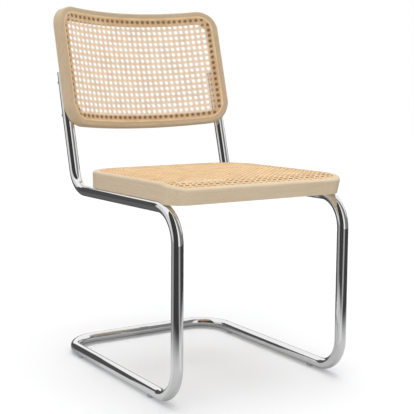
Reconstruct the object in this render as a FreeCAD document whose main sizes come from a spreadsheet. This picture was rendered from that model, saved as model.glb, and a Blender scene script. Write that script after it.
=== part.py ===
"""Cantilever dining chair: bent steel tube, curved wooden frames, cane seat and back.

The chair faces -Y and stands on z = 0, with +X on the sitter's left. The sizes in the
sheet are taken from the front leg's axis, and every piece is then moved back so that
the origin lies under the middle of the whole chair.
"""
import FreeCAD, Part
import math
import os
import Sketcher

Vector = FreeCAD.Vector
Rotation = FreeCAD.Rotation
Placement = FreeCAD.Placement

ALONG_X = Vector(1, 0, 0)
LEAN_BACK = Vector(-1, 0, 0)
UP = Vector(0, 0, 1)
SIDES = (("left", ""), ("right", "-"))
TOUCH = 0.02
# Openings in the cane, across and along; the woven holes are about twice as many each way.
SEAT_OPENINGS = (12, 12)
BACK_OPENINGS = (12, 7)

# name, size in millimetres or degrees, what it is
DIMENSIONS = (
    ("tube_diameter", 25.0, "outside of the steel tube"),
    ("tube_wall", 2.0, "wall of the steel tube"),
    ("side_spacing", 426.0, "between the axes of the two sides"),
    ("base_depth", 534.0, "front leg axis to rear crossbar axis"),
    ("front_bend_radius", 70.0, "bends above and below the front leg"),
    ("rear_bend_radius", 60.0, "bend from the seat tube up to the back"),
    ("floor_corner_radius", 78.0, "rear corners of the floor frame"),
    ("seat_tube_height", 409.4, "seat tube axis above the floor, at the front leg"),
    ("seat_slope", 0.9, "fall of the seat tube to the rear, degrees"),
    ("upright_position", 460.0, "front leg axis to the foot of the upright"),
    ("recline", 15.9, "lean of the uprights, degrees"),
    ("upright_length", 284.0, "foot of the upright to the cut end of its tube"),
    ("seam_position", 236.0, "front leg axis to the joint in the seat tube"),
    ("sleeve_length", 80.0, "hidden sleeve inside the joint"),
    ("sleeve_wall", 2.0, "wall of that sleeve"),
    ("sliding_clearance", 0.1, "round a plug, sleeve or screw in its hole"),
    ("cap_dome", 2.4, "rise of the plug above the tube end"),
    ("cap_plug_length", 14.0, "plug inside the tube"),
    ("glide_height", 3.0, "floor to the underside of the tube"),
    ("glide_diameter", 18.0, "floor glide"),
    ("glide_cradle", 2.6, "how far the glide reaches up round the tube"),
    ("glide_stem_diameter", 6.0, "stem of the glide"),
    ("glide_stem_length", 8.0, "stem above the underside of the tube"),
    ("front_glide_position", 104.0, "front leg axis to the front glides"),
    ("rear_glide_position", 440.0, "front leg axis to the rear glides"),
    ("seat_front_margin", 9.0, "seat tube axis to the seat frame's side, at its front"),
    ("seat_rear_margin", 7.0, "the same at its rear"),
    ("seat_overhang", 5.0, "top front edge ahead of the front leg axis"),
    ("seat_depth", 439.0, "front edge to rear edge"),
    ("seat_thickness", 38.5, "seat frame"),
    ("seat_front_thickness", 32.5, "seat frame at its front face"),
    ("waterfall_radius", 250.0, "downward curve of the front of the seat"),
    ("seat_front_corner", 42.0, "front corners of the seat frame"),
    ("seat_rear_corner", 95.0, "rear corners of the seat frame"),
    ("seat_edge_radius", 5.0, "rounding of the seat's upper edge"),
    ("seat_lower_radius", 2.0, "rounding of the seat's lower edge"),
    ("seat_saddle", 2.0, "how deep the tube lies in the wood"),
    ("seat_side_rail", 38.0, "width of the side and rear rails"),
    ("seat_front_rail", 50.0, "width of the front rail"),
    ("seat_opening_corner", 24.0, "front corners of the opening"),
    ("back_radius", 450.0, "curve of the front of the back frame"),
    ("back_margin", 8.0, "upright's axis to the end of the back frame's front"),
    ("back_height", 294.0, "back frame along its lean"),
    ("back_bottom", 149.0, "foot of the upright to the back frame"),
    ("back_thickness", 25.0, "back frame"),
    ("back_corner", 54.0, "corners of the back frame"),
    ("back_edge_radius", 4.0, "rounding of the back frame's edges"),
    ("back_saddle", 1.5, "how deep the uprights lie in the wood"),
    ("back_rail", 28.0, "width of the back frame's rails"),
    ("back_opening_corner", 26.0, "corners of its opening"),
    ("saddle_clearance", 0.2, "between a tube and its groove in the wood"),
    ("cane_thickness", 1.6, "woven cane sheet"),
    ("cane_strip", 10.0, "left between two openings of the cane"),
    ("groove_inset", 12.0, "frame's edge to the spline groove"),
    ("groove_width", 4.4, "spline groove"),
    ("groove_depth", 6.0, "spline groove"),
    ("spline_clearance", 0.2, "each side of the spline"),
    ("screw_diameter", 6.0, "machine screws"),
    ("screw_hole_diameter", 6.8, "their holes in the tubes"),
    ("screw_head_diameter", 11.0, "their heads"),
    ("screw_head_height", 3.4, "their heads"),
    ("screw_face_diameter", 7.6, "the flat end of a head"),
    ("screw_socket", 3.5, "hexagon socket across its flats"),
    ("screw_socket_depth", 2.2, "hexagon socket"),
    ("screw_reach", 12.0, "screw inside the wood"),
    ("screw_end_room", 1.0, "past a screw's tip in its insert"),
    ("insert_diameter", 9.6, "threaded insert in the wood"),
    ("bracket_reach", 19.0, "seat tube axis to a seat screw"),
    ("bracket_width", 24.0, "tabs that carry the seat"),
    ("bracket_thickness", 3.0, "tabs that carry the seat"),
    ("front_screw_position", 118.0, "front leg axis to the front tabs and screws"),
    ("rear_screw_position", 352.0, "front leg axis to the rear tabs and screws"),
    ("lower_screw_position", 182.0, "foot of the upright to the lower back screws"),
    ("upper_screw_position", 262.0, "foot of the upright to the upper back screws"),
)

doc = FreeCAD.newDocument("cantilever_chair")
sheet = doc.addObject("Spreadsheet::Sheet", "Sizes")
sheet.Label = "driving dimensions"
for row, (alias, amount, meaning) in enumerate(DIMENSIONS, start=1):
    sheet.set("A%d" % row, alias)
    sheet.set("B%d" % row, repr(amount))
    sheet.set("C%d" % row, meaning)
    sheet.setAlias("B%d" % row, alias)
doc.recompute()


def size(alias):
    """The formula that reads one driving dimension."""
    return "Sizes." + alias


def number(formula):
    """What a formula on the driving dimensions comes to."""
    result = sheet.evalExpression(formula)
    return float(getattr(result, "Value", result))


# Formulas that several pieces share.
TUBE_R = "(Sizes.tube_diameter / 2)"
BORE_R = "(Sizes.tube_diameter / 2 - Sizes.tube_wall)"
SIDE_X = "(Sizes.side_spacing / 2)"
FLOOR_TUBE_Z = "(Sizes.glide_height + Sizes.tube_diameter / 2)"
RUNNER_END = "(Sizes.base_depth - Sizes.floor_corner_radius)"
SEAM_Z = "(Sizes.seat_tube_height - Sizes.seam_position * tan(Sizes.seat_slope))"
FOOT_Z = "(Sizes.seat_tube_height - Sizes.upright_position * tan(Sizes.seat_slope))"
SEAT_BOTTOM = "(Sizes.tube_diameter / 2 - Sizes.seat_saddle)"
SEAT_TOP = "(%s + Sizes.seat_thickness)" % SEAT_BOTTOM
SEAT_REAR = "(Sizes.seat_depth - Sizes.seat_overhang)"
ACROSS_ALL = "(2 * Sizes.side_spacing)"
BACK_TOP = "(Sizes.back_bottom + Sizes.back_height)"
BACK_REAR_R = "(Sizes.back_radius + Sizes.back_thickness)"
BACK_NEAR_R = "(Sizes.back_radius - Sizes.groove_depth)"
BACK_FAR_R = "(%s + Sizes.groove_depth)" % BACK_REAR_R
BACK_HALF = "(%s + Sizes.back_margin)" % SIDE_X
UPRIGHT_R = "(%s + %s - Sizes.back_saddle)" % (BACK_REAR_R, TUBE_R)
UPRIGHT_ANGLE = "asin(%s / %s)" % (SIDE_X, UPRIGHT_R)
BACK_CENTRE = "(%s * cos(%s))" % (UPRIGHT_R, UPRIGHT_ANGLE)
GROOVE_BOTTOM_R = "(%s - %s - Sizes.saddle_clearance)" % (UPRIGHT_R, TUBE_R)
SADDLE_R = "(%s + Sizes.saddle_clearance)" % TUBE_R
SCREW_R = "(Sizes.screw_diameter / 2)"
SCREW_HOLE_R = "(Sizes.screw_hole_diameter / 2)"
INSERT_R = "(Sizes.insert_diameter / 2)"
REARMOST = (
    "(Sizes.upright_position"
    " + (%s - Sizes.back_edge_radius - %s) * cos(Sizes.recline)"
    " + (%s - Sizes.back_edge_radius) * sin(Sizes.recline) + Sizes.back_edge_radius)"
    % (BACK_REAR_R, BACK_CENTRE, BACK_TOP)
)
MIDDLE = "((%s - %s) / 2)" % (REARMOST, TUBE_R)


def bind(thing, prop, formula):
    """Ties one property of an object to a formula on the driving dimensions."""
    thing.setExpression(prop, formula)


def place(thing, x="0", y="0", z="0", lean=None):
    """Puts a piece at x, y, z from the front leg axis, leaning back by the formula lean."""
    angle = number(lean) if lean else 0.0
    thing.Placement = Placement(Vector(0, 0, 0), Rotation(LEAN_BACK, angle))
    bind(thing, "Placement.Base.x", x)
    bind(thing, "Placement.Base.y", "%s - %s" % (y, MIDDLE))
    bind(thing, "Placement.Base.z", z)
    if lean:
        bind(thing, "Placement.Rotation.Angle", lean)
    return thing


def place_on_seat(thing):
    """Puts a piece drawn along the seat tube, whose axis is the local Y axis."""
    return place(thing, z=size("seat_tube_height"), lean=size("seat_slope"))


def place_on_back(thing):
    """Puts a piece drawn round the axis of the back's curve, with z up the lean."""
    y = "Sizes.upright_position - %s * cos(Sizes.recline)" % BACK_CENTRE
    z = "%s + %s * sin(Sizes.recline)" % (FOOT_Z, BACK_CENTRE)
    return place(thing, y=y, z=z, lean=size("recline"))


def body(name):
    made = doc.addObject("PartDesign::Body", name)
    made.Label = name
    return made


def plane(owner, role):
    """One of a body's own three planes."""
    return next(f for f in owner.Origin.OriginFeatures if f.Role == role)


def sketch_on(owner, role, name, offset=None):
    """An empty sketch on a body's plane, moved along the plane's normal by a formula."""
    sketch = owner.newObject("Sketcher::SketchObject", name)
    sketch.AttachmentSupport = [(plane(owner, role), "")]
    sketch.MapMode = "FlatFace"
    if offset:
        bind(sketch, "AttachmentOffset.Base.z", offset)
    return sketch


def limit(sketch, kind, where, formula):
    """Adds a dimension to a sketch and ties it to a formula."""
    index = sketch.addConstraint(Sketcher.Constraint(kind, *where, number(formula)))
    bind(sketch, "Constraints[%d]" % index, formula)


def fix_point(sketch, geometry, end, x, y):
    """Holds a point of a sketch at x, y from the sketch's origin; negative sizes are turned."""
    for kind, formula in (("DistanceX", x), ("DistanceY", y)):
        if abs(number(formula)) < 1e-9:
            axis = -2 if kind == "DistanceX" else -1
            sketch.addConstraint(Sketcher.Constraint("PointOnObject", geometry, end, axis))
        elif number(formula) < 0:
            limit(sketch, kind, (geometry, end, -1, 1), "-(%s)" % formula)
        else:
            limit(sketch, kind, (-1, 1, geometry, end), formula)


def line(x0, y0, x1, y1):
    return Part.LineSegment(Vector(x0, y0, 0), Vector(x1, y1, 0))


def arc(x, y, radius, start, end):
    """An arc run anticlockwise between two angles in degrees."""
    circle = Part.Circle(Vector(x, y, 0), UP, radius)
    return Part.ArcOfCircle(circle, math.radians(start), math.radians(end))


def circles(sketch, x, y, radii):
    """Circles of several radii round one fixed point."""
    for radius in radii:
        circle = Part.Circle(Vector(number(x), number(y), 0), UP, number(radius))
        index = sketch.addGeometry(circle)
        fix_point(sketch, index, 3, x, y)
        limit(sketch, "Radius", (index,), radius)


def outline(sketch, points):
    """A closed outline of straight lines through points given as pairs of formulas."""
    spots = [(number(x), number(y)) for x, y in points]
    count = len(spots)
    for index, (start, end) in enumerate(zip(spots, spots[1:] + spots[:1])):
        sketch.addGeometry(line(*start, *end))
    for index in range(count):
        sketch.addConstraint(Sketcher.Constraint("Coincident", index, 2, (index + 1) % count, 1))
    for index, (x, y) in enumerate(points):
        fix_point(sketch, index, 1, x, y)


def pad(owner, sketch, length, both_ways=False):
    feature = owner.newObject("PartDesign::Pad", sketch.Name + "Pad")
    feature.Profile = sketch
    feature.Midplane = both_ways
    bind(feature, "Length", length)
    owner.Tip = feature
    doc.recompute()
    return feature


def pipe(owner, profile, path):
    feature = owner.newObject("PartDesign::AdditivePipe", path.Name + "Pipe")
    feature.Profile = profile
    feature.Spine = (path, [])
    owner.Tip = feature
    doc.recompute()
    return feature


def revolve(owner, sketch):
    """Turns a sketch once round its own vertical axis."""
    feature = owner.newObject("PartDesign::Revolution", sketch.Name + "Turned")
    feature.Profile = sketch
    feature.ReferenceAxis = (sketch, ["V_Axis"])
    feature.Angle = 360.0
    owner.Tip = feature
    doc.recompute()
    return feature


def edges_where(feature, test):
    """Names of the edges of a feature whose curve passes a test."""
    found = []
    for index, edge in enumerate(feature.Shape.Edges, start=1):
        if test(edge):
            found.append("Edge%d" % index)
    return found


def round_edges(owner, feature, names, radius, name):
    rounded = owner.newObject("PartDesign::Fillet", name)
    rounded.Base = (feature, names)
    bind(rounded, "Radius", radius)
    owner.Tip = rounded
    doc.recompute()
    return rounded


def soften(name, base, test, radius):
    """Rounds the edges of a whole shape that pass a test."""
    made = doc.addObject("Part::Fillet", name)
    made.Base = base
    names = edges_where(base, test)
    amount = number(radius)
    made.Edges = [(int(edge[4:]), amount, amount) for edge in names]
    doc.recompute()
    return made


def fuse(name, pieces):
    made = doc.addObject("Part::MultiFuse", name)
    made.Shapes = pieces
    return made


def group(name, pieces):
    """Equal pieces that share one node and stay separate solids."""
    made = doc.addObject("Part::Compound", name)
    made.Links = pieces
    made.Label = name
    return made


def cut(name, base, tool):
    made = doc.addObject("Part::Cut", name)
    made.Base = base
    made.Tool = tool
    made.Label = name
    return made


def common(name, base, tool):
    made = doc.addObject("Part::Common", name)
    made.Base = base
    made.Tool = tool
    made.Label = name
    return made


def slot_ends(low, high, count, index):
    """The ends of one of an even row of slots, with half a strip left at each end of the row."""
    pitch = "((%s - %s) / %d)" % (high, low, count)
    start = "(%s + %d * %s + Sizes.cane_strip / 2)" % (low, index, pitch)
    return start, "(%s + %s - Sizes.cane_strip)" % (start, pitch)


def slab(name, x, y, z):
    """A plain box between pairs of formulas, each a low and a high end."""
    made = doc.addObject("Part::Box", name)
    for prop, axis, (low, high) in (("Length", "x", x), ("Width", "y", y), ("Height", "z", z)):
        bind(made, prop, "%s - %s" % (high, low))
        bind(made, "Placement.Base." + axis, low)
    return made


def rod(name, radius, length, x="0", y="0", z="0", turn=None):
    """A plain cylinder; turn is its rotation from standing upright."""
    made = doc.addObject("Part::Cylinder", name)
    made.Placement = Placement(Vector(0, 0, 0), turn or Rotation())
    bind(made, "Radius", radius)
    bind(made, "Height", length)
    bind(made, "Placement.Base.x", x)
    bind(made, "Placement.Base.y", y)
    bind(made, "Placement.Base.z", z)
    return made


# The steel tube: one bent base, and an upright on each side that is joined to it.


def floor_path(owner):
    """Centre line of the two rear corners and the crossbar."""
    sketch = sketch_on(owner, "XY_Plane", "FloorPath", FLOOR_TUBE_Z)
    half, radius = number(SIDE_X), number(size("floor_corner_radius"))
    end, rear = number(RUNNER_END), number(size("base_depth"))
    left = sketch.addGeometry(arc(radius - half, end, radius, 90, 180))
    bar = sketch.addGeometry(line(radius - half, rear, half - radius, rear))
    right = sketch.addGeometry(arc(half - radius, end, radius, 0, 90))
    for constraint in (
        ("Tangent", left, 1, bar, 1),
        ("Tangent", bar, 2, right, 2),
        ("Horizontal", bar),
        ("Horizontal", left, 2, left, 3),
        ("Horizontal", right, 1, right, 3),
    ):
        sketch.addConstraint(Sketcher.Constraint(*constraint))
    limit(sketch, "Radius", (left,), size("floor_corner_radius"))
    limit(sketch, "Radius", (right,), size("floor_corner_radius"))
    fix_point(sketch, left, 2, "-" + SIDE_X, RUNNER_END)
    limit(sketch, "DistanceX", (-1, 1, right, 1), SIDE_X)
    return sketch


def side_path(owner):
    """Centre line of one side: runner, front leg and seat tube up to the joint."""
    sketch = sketch_on(owner, "YZ_Plane", "SidePath", "-" + SIDE_X)
    radius, floor = number(size("front_bend_radius")), number(FLOOR_TUBE_Z)
    height, slope = number(size("seat_tube_height")), number(size("seat_slope"))
    runner_end, seam, seam_z = number(RUNNER_END), number(size("seam_position")), number(SEAM_Z)
    top_y = radius * (1 + math.sin(math.radians(slope)))
    top_z = height - radius - radius * math.radians(slope)
    seat = sketch.addGeometry(line(seam, seam_z, top_y, top_z + radius))
    upper = sketch.addGeometry(arc(radius, top_z, radius, 90 - slope, 180))
    leg = sketch.addGeometry(line(0, top_z, 0, floor + radius))
    lower = sketch.addGeometry(arc(radius, floor + radius, radius, 180, 270))
    runner = sketch.addGeometry(line(radius, floor, runner_end, floor))
    crossing = sketch.addGeometry(Part.Point(Vector(0, height, 0)), True)
    for constraint in (
        ("Tangent", seat, 2, upper, 1),
        ("Tangent", upper, 2, leg, 1),
        ("Tangent", leg, 2, lower, 1),
        ("Tangent", lower, 2, runner, 1),
        ("Vertical", leg),
        ("PointOnObject", leg, 1, -2),
        ("Horizontal", runner),
        ("PointOnObject", crossing, 1, seat),
    ):
        sketch.addConstraint(Sketcher.Constraint(*constraint))
    limit(sketch, "Radius", (upper,), size("front_bend_radius"))
    limit(sketch, "Radius", (lower,), size("front_bend_radius"))
    fix_point(sketch, runner, 2, RUNNER_END, FLOOR_TUBE_Z)
    fix_point(sketch, seat, 1, size("seam_position"), SEAM_Z)
    fix_point(sketch, crossing, 1, "0", size("seat_tube_height"))
    return sketch


def base_tube_blank():
    """The base before it is drilled."""
    made = body("BaseTubeBlank")
    ring = sketch_on(made, "XZ_Plane", "BaseRing", "-" + RUNNER_END)
    circles(ring, "-" + SIDE_X, FLOOR_TUBE_Z, (TUBE_R, BORE_R))
    crossbar = floor_path(made)
    side = side_path(made)
    doc.recompute()
    pipe(made, ring, crossbar)
    left = pipe(made, ring, side)
    mirrored = made.newObject("PartDesign::Mirrored", "OtherSide")
    mirrored.Originals = [left]
    mirrored.MirrorPlane = (plane(made, "YZ_Plane"), [""])
    made.Tip = mirrored
    return place(made)


# Along the seat tube's own axis, these are where the joint and the upright's foot lie.
SEAM_ALONG = "(Sizes.seam_position / cos(Sizes.seat_slope))"
FOOT_ALONG = "(Sizes.upright_position / cos(Sizes.seat_slope))"
UPRIGHT_TILT = "(Sizes.recline - Sizes.seat_slope)"


def upright_path(owner):
    """Centre line of an upright, from the joint under the seat to its cut end."""
    sketch = sketch_on(owner, "YZ_Plane", "UprightPath")
    radius, tilt = number(size("rear_bend_radius")), number(UPRIGHT_TILT)
    seam, foot = number(SEAM_ALONG), number(FOOT_ALONG)
    reach = radius * math.tan(math.radians(90 - tilt) / 2)
    lean = (math.sin(math.radians(tilt)), math.cos(math.radians(tilt)))
    top_y = "(%s + Sizes.upright_length * sin(%s))" % (FOOT_ALONG, UPRIGHT_TILT)
    top_z = "(Sizes.upright_length * cos(%s))" % UPRIGHT_TILT
    seat = sketch.addGeometry(line(seam, 0, foot - reach, 0))
    bend = sketch.addGeometry(arc(foot - reach, radius, radius, 270, 360 - tilt))
    rise = (foot + reach * lean[0], reach * lean[1])
    upright = sketch.addGeometry(line(*rise, number(top_y), number(top_z)))
    crossing = sketch.addGeometry(Part.Point(Vector(foot, 0, 0)), True)
    for constraint in (
        ("Tangent", seat, 2, bend, 1),
        ("Tangent", bend, 2, upright, 1),
        ("Horizontal", seat),
        ("PointOnObject", crossing, 1, upright),
    ):
        sketch.addConstraint(Sketcher.Constraint(*constraint))
    limit(sketch, "Radius", (bend,), size("rear_bend_radius"))
    fix_point(sketch, seat, 1, SEAM_ALONG, "0")
    fix_point(sketch, crossing, 1, FOOT_ALONG, "0")
    fix_point(sketch, upright, 2, top_y, top_z)
    return sketch


def upright_blank(name):
    made = body(name)
    ring = sketch_on(made, "XZ_Plane", "UprightRing", "-" + SEAM_ALONG)
    circles(ring, "0", "0", (TUBE_R, BORE_R))
    path = upright_path(made)
    doc.recompute()
    pipe(made, ring, path)
    return made


def joint_sleeve(name):
    """A short tube inside the joint between the base and an upright."""
    made = body(name)
    ring = sketch_on(made, "XZ_Plane", name + "_ring", "-" + SEAM_ALONG)
    outside = "(%s - Sizes.sliding_clearance)" % BORE_R
    circles(ring, "0", "0", (outside, outside + " - Sizes.sleeve_wall"))
    doc.recompute()
    pad(made, ring, size("sleeve_length"), both_ways=True)
    return made


def end_cap(name):
    """A domed plug; the tube's cut end is the local plane z = 0."""
    made = body(name)
    sketch = sketch_on(made, "XZ_Plane", name + "_section")
    plug = "(%s - Sizes.sliding_clearance)" % BORE_R
    radius, rise = number(TUBE_R), number(size("cap_dome"))
    depth, inner = number(size("cap_plug_length")), number(plug)
    dome = (radius ** 2 + rise ** 2) / (2 * rise)
    sweep = math.degrees(math.asin(radius / dome))
    foot = sketch.addGeometry(line(0, -depth, inner, -depth))
    wall = sketch.addGeometry(line(inner, -depth, inner, 0))
    rim = sketch.addGeometry(line(inner, 0, radius, 0))
    top = sketch.addGeometry(arc(0, rise - dome, dome, 90 - sweep, 90))
    middle = sketch.addGeometry(line(0, rise, 0, -depth))
    for constraint in (
        ("Coincident", foot, 2, wall, 1),
        ("Coincident", wall, 2, rim, 1),
        ("Coincident", rim, 2, top, 1),
        ("Coincident", top, 2, middle, 1),
        ("Coincident", middle, 2, foot, 1),
        ("Horizontal", foot),
        ("Vertical", wall),
        ("PointOnObject", top, 3, -2),
    ):
        sketch.addConstraint(Sketcher.Constraint(*constraint))
    limit(sketch, "DistanceX", (-1, 1, wall, 1), plug)
    limit(sketch, "DistanceY", (foot, 1, -1, 1), size("cap_plug_length"))
    sketch.addConstraint(Sketcher.Constraint("PointOnObject", rim, 1, -1))
    fix_point(sketch, rim, 2, TUBE_R, "0")
    fix_point(sketch, top, 2, "0", size("cap_dome"))
    doc.recompute()
    revolve(made, sketch)
    return made


def glide(name):
    """A button under the tube, hollowed to fit it, with a stem through the tube's wall."""
    button = body(name + "_button")
    sketch = sketch_on(button, "XZ_Plane", name + "_section")
    rim = "(Sizes.glide_diameter / 2)"
    top = "(Sizes.glide_height + Sizes.glide_cradle)"
    bevel = "(Sizes.glide_height / 3)"
    foot = "(%s - %s)" % (rim, bevel)
    outline(sketch, (("0", "0"), (foot, "0"), (rim, bevel), (rim, top), ("0", top)))
    doc.recompute()
    revolve(button, sketch)
    along = Rotation(ALONG_X, 90)
    half = size("glide_diameter")
    tube = rod(name + "_tube", TUBE_R, "2 * " + half, "0", half, FLOOR_TUBE_Z, along)
    stem_z = "(Sizes.glide_height / 2)"
    stem_length = "(%s + Sizes.glide_stem_length)" % stem_z
    stem = rod(name + "_stem", "(Sizes.glide_stem_diameter / 2)", stem_length, z=stem_z)
    made = fuse(name, [cut(name + "_cradle", button, tube), stem])
    made.Label = name
    return made


# The seat, drawn along the seat tube: local y is the tube's axis, z = 0 on it.

BEND_ALONG = "(Sizes.front_bend_radius / tan((90 - Sizes.seat_slope) / 2))"
SEAT_FRONT = "(-Sizes.seat_overhang)"
GROOVE_INNER = "(Sizes.groove_inset + Sizes.groove_width)"


def seat_half_width(along):
    """Formula for half the seat's width at a distance behind the front leg axis."""
    narrowing = "(Sizes.seat_front_margin - Sizes.seat_rear_margin)"
    share = "(%s + Sizes.seat_overhang) / Sizes.seat_depth" % along
    return "(%s + Sizes.seat_front_margin - %s * %s)" % (SIDE_X, narrowing, share)


def seat_section(owner):
    """The seat frame seen from the side: flat, with its front drawn down like a waterfall."""
    sketch = sketch_on(owner, "YZ_Plane", "SeatSection")
    start, bend = number(BEND_ALONG), number(size("front_bend_radius"))
    rear, low, top = number(SEAT_REAR), number(SEAT_BOTTOM), number(SEAT_TOP)
    fall, front = number(size("waterfall_radius")), number(SEAT_FRONT)
    centre = top - fall
    turn = math.asin((start - front) / fall)
    front_z = centre + fall * math.cos(turn)
    depth = number(size("seat_front_thickness"))
    under_y, under_z = front + depth * math.sin(turn), front_z - depth * math.cos(turn)
    lower = bend + low
    lower_turn = math.acos((under_z + bend) / lower)
    back = sketch.addGeometry(line(rear, low, rear, top))
    flat = sketch.addGeometry(line(rear, top, start, top))
    waterfall = sketch.addGeometry(arc(start, centre, fall, 90, 90 + math.degrees(turn)))
    face = sketch.addGeometry(line(front, front_z, under_y, under_z))
    knee_y = start - lower * math.sin(lower_turn)
    lip = sketch.addGeometry(line(under_y, under_z, knee_y, under_z))
    under = sketch.addGeometry(arc(start, -bend, lower, 90, 90 + math.degrees(lower_turn)))
    base = sketch.addGeometry(line(start, low, rear, low))
    for constraint in (
        ("Coincident", back, 2, flat, 1),
        ("Tangent", flat, 2, waterfall, 1),
        ("Coincident", waterfall, 2, face, 1),
        ("PointOnObject", waterfall, 3, face),
        ("Coincident", face, 2, lip, 1),
        ("Horizontal", lip),
        ("Coincident", lip, 2, under, 2),
        ("Tangent", under, 1, base, 1),
        ("Coincident", base, 2, back, 1),
        ("Vertical", back),
        ("Horizontal", flat),
        ("Horizontal", base),
    ):
        sketch.addConstraint(Sketcher.Constraint(*constraint))
    fix_point(sketch, back, 1, SEAT_REAR, SEAT_BOTTOM)
    limit(sketch, "DistanceY", (-1, 1, back, 2), SEAT_TOP)
    limit(sketch, "Radius", (waterfall,), size("waterfall_radius"))
    limit(sketch, "DistanceX", (-1, 1, waterfall, 3), BEND_ALONG)
    limit(sketch, "DistanceX", (waterfall, 2, -1, 1), size("seat_overhang"))
    limit(sketch, "Distance", (face,), size("seat_front_thickness"))
    fix_point(sketch, under, 3, BEND_ALONG, "-Sizes.front_bend_radius")
    return sketch


def seat_blank():
    """The seat frame's outside, before its opening, grooves and holes."""
    made = body("SeatBlank")
    section = seat_section(made)
    doc.recompute()
    pad(made, section, ACROSS_ALL, both_ways=True)
    trim = sketch_on(made, "XY_Plane", "SeatSides")
    ahead = "(-2 * Sizes.seat_overhang)"
    behind = "(%s + Sizes.seat_overhang)" % SEAT_REAR
    for side in ("", "-"):
        corners = (
            (side + seat_half_width(ahead), ahead),
            (side + ACROSS_ALL, ahead),
            (side + ACROSS_ALL, behind),
            (side + seat_half_width(behind), behind),
        )
        first = trim.GeometryCount
        spots = [(number(x), number(y)) for x, y in corners]
        for start, end in zip(spots, spots[1:] + spots[:1]):
            trim.addGeometry(line(*start, *end))
        for index in range(4):
            joined = ("Coincident", first + index, 2, first + (index + 1) % 4, 1)
            trim.addConstraint(Sketcher.Constraint(*joined))
            fix_point(trim, first + index, 1, *corners[index])
    doc.recompute()
    sides = made.newObject("PartDesign::Pocket", "SeatTaper")
    sides.Profile = trim
    sides.Midplane = True
    sides.Type = "ThroughAll"
    made.Tip = sides
    doc.recompute()
    corners = edges_where(sides, is_steep)
    ahead_of = number(BEND_ALONG)
    front = [name for name in corners if sides.getSubObject(name).CenterOfMass.y < ahead_of]
    rounded = round_edges(made, sides, front, size("seat_front_corner"), "SeatFrontCorners")
    rear = [
        name
        for name in edges_where(rounded, is_steep)
        if rounded.getSubObject(name).CenterOfMass.y > number(SEAT_REAR) - 1
    ]
    rounded = round_edges(made, rounded, rear, size("seat_rear_corner"), "SeatRearCorners")
    upper = soften("SeatUpperEdge", made, on_seat_top, size("seat_edge_radius"))
    return soften("SeatLowerEdge", upper, on_seat_bottom, size("seat_lower_radius"))


def is_steep(edge):
    """True for a straight edge that stands up between the seat's faces."""
    if edge.Curve.TypeId != "Part::GeomLine":
        return False
    first, last = edge.Vertexes[0].Point, edge.Vertexes[-1].Point
    return abs(first.z - last.z) > 0.8 * edge.Length


def spots_of(edge):
    """The ends and the middle of an edge."""
    first, last = edge.ParameterRange
    return [vertex.Point for vertex in edge.Vertexes] + [edge.valueAt((first + last) / 2)]


def crosses_at(edge, along):
    """True for an edge that runs straight across the seat at one distance."""
    return all(abs(spot.y - along) < TOUCH for spot in spots_of(edge))


def on_seat_top(edge):
    """True for an edge round the outside of the seat's upper face."""
    start, fall = number(BEND_ALONG), number(size("waterfall_radius"))
    if crosses_at(edge, start):
        return False
    for spot in spots_of(edge):
        ahead = max(0.0, start - spot.y)
        height = number(SEAT_TOP) - fall + math.sqrt(fall ** 2 - ahead ** 2)
        if abs(spot.z - height) > TOUCH:
            return False
    return True


def on_seat_bottom(edge):
    """True for an edge round the outside of the seat's lower face."""
    start = number(BEND_ALONG)
    if edge.Curve.TypeId == "Part::GeomLine" and is_steep(edge):
        return False
    spots = spots_of(edge)
    if crosses_at(edge, start) or any(spot.y < start - TOUCH for spot in spots):
        return False
    return all(abs(spot.z - number(SEAT_BOTTOM)) < TOUCH for spot in spots)


def seat_plan(name, inset, front_inset, front_corner, rear_corner):
    """A tall block with the seat's outline in plan, drawn in by an inset."""
    made = body(name)
    sketch = sketch_on(made, "XY_Plane", name + "_outline", "-Sizes.seat_thickness")
    ahead = "(%s + %s)" % (SEAT_FRONT, front_inset)
    behind = "(%s - %s)" % (SEAT_REAR, inset)
    front_half = "(%s - %s)" % (seat_half_width(ahead), inset)
    rear_half = "(%s - %s)" % (seat_half_width(behind), inset)
    corners = (
        ("-" + front_half, ahead),
        (front_half, ahead),
        (rear_half, behind),
        ("-" + rear_half, behind),
    )
    outline(sketch, corners)
    doc.recompute()
    block = pad(made, sketch, "4 * Sizes.seat_thickness")
    middle = number(SEAT_REAR) / 2
    front = edges_where(block, lambda edge: is_steep(edge) and edge.CenterOfMass.y < middle)
    block = round_edges(made, block, front, front_corner, name + "_front_corners")
    rear_y = number(behind) - TOUCH
    rear = edges_where(block, lambda edge: is_steep(edge) and edge.CenterOfMass.y > rear_y)
    round_edges(made, block, rear, rear_corner, name + "_rear_corners")
    return made


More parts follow.
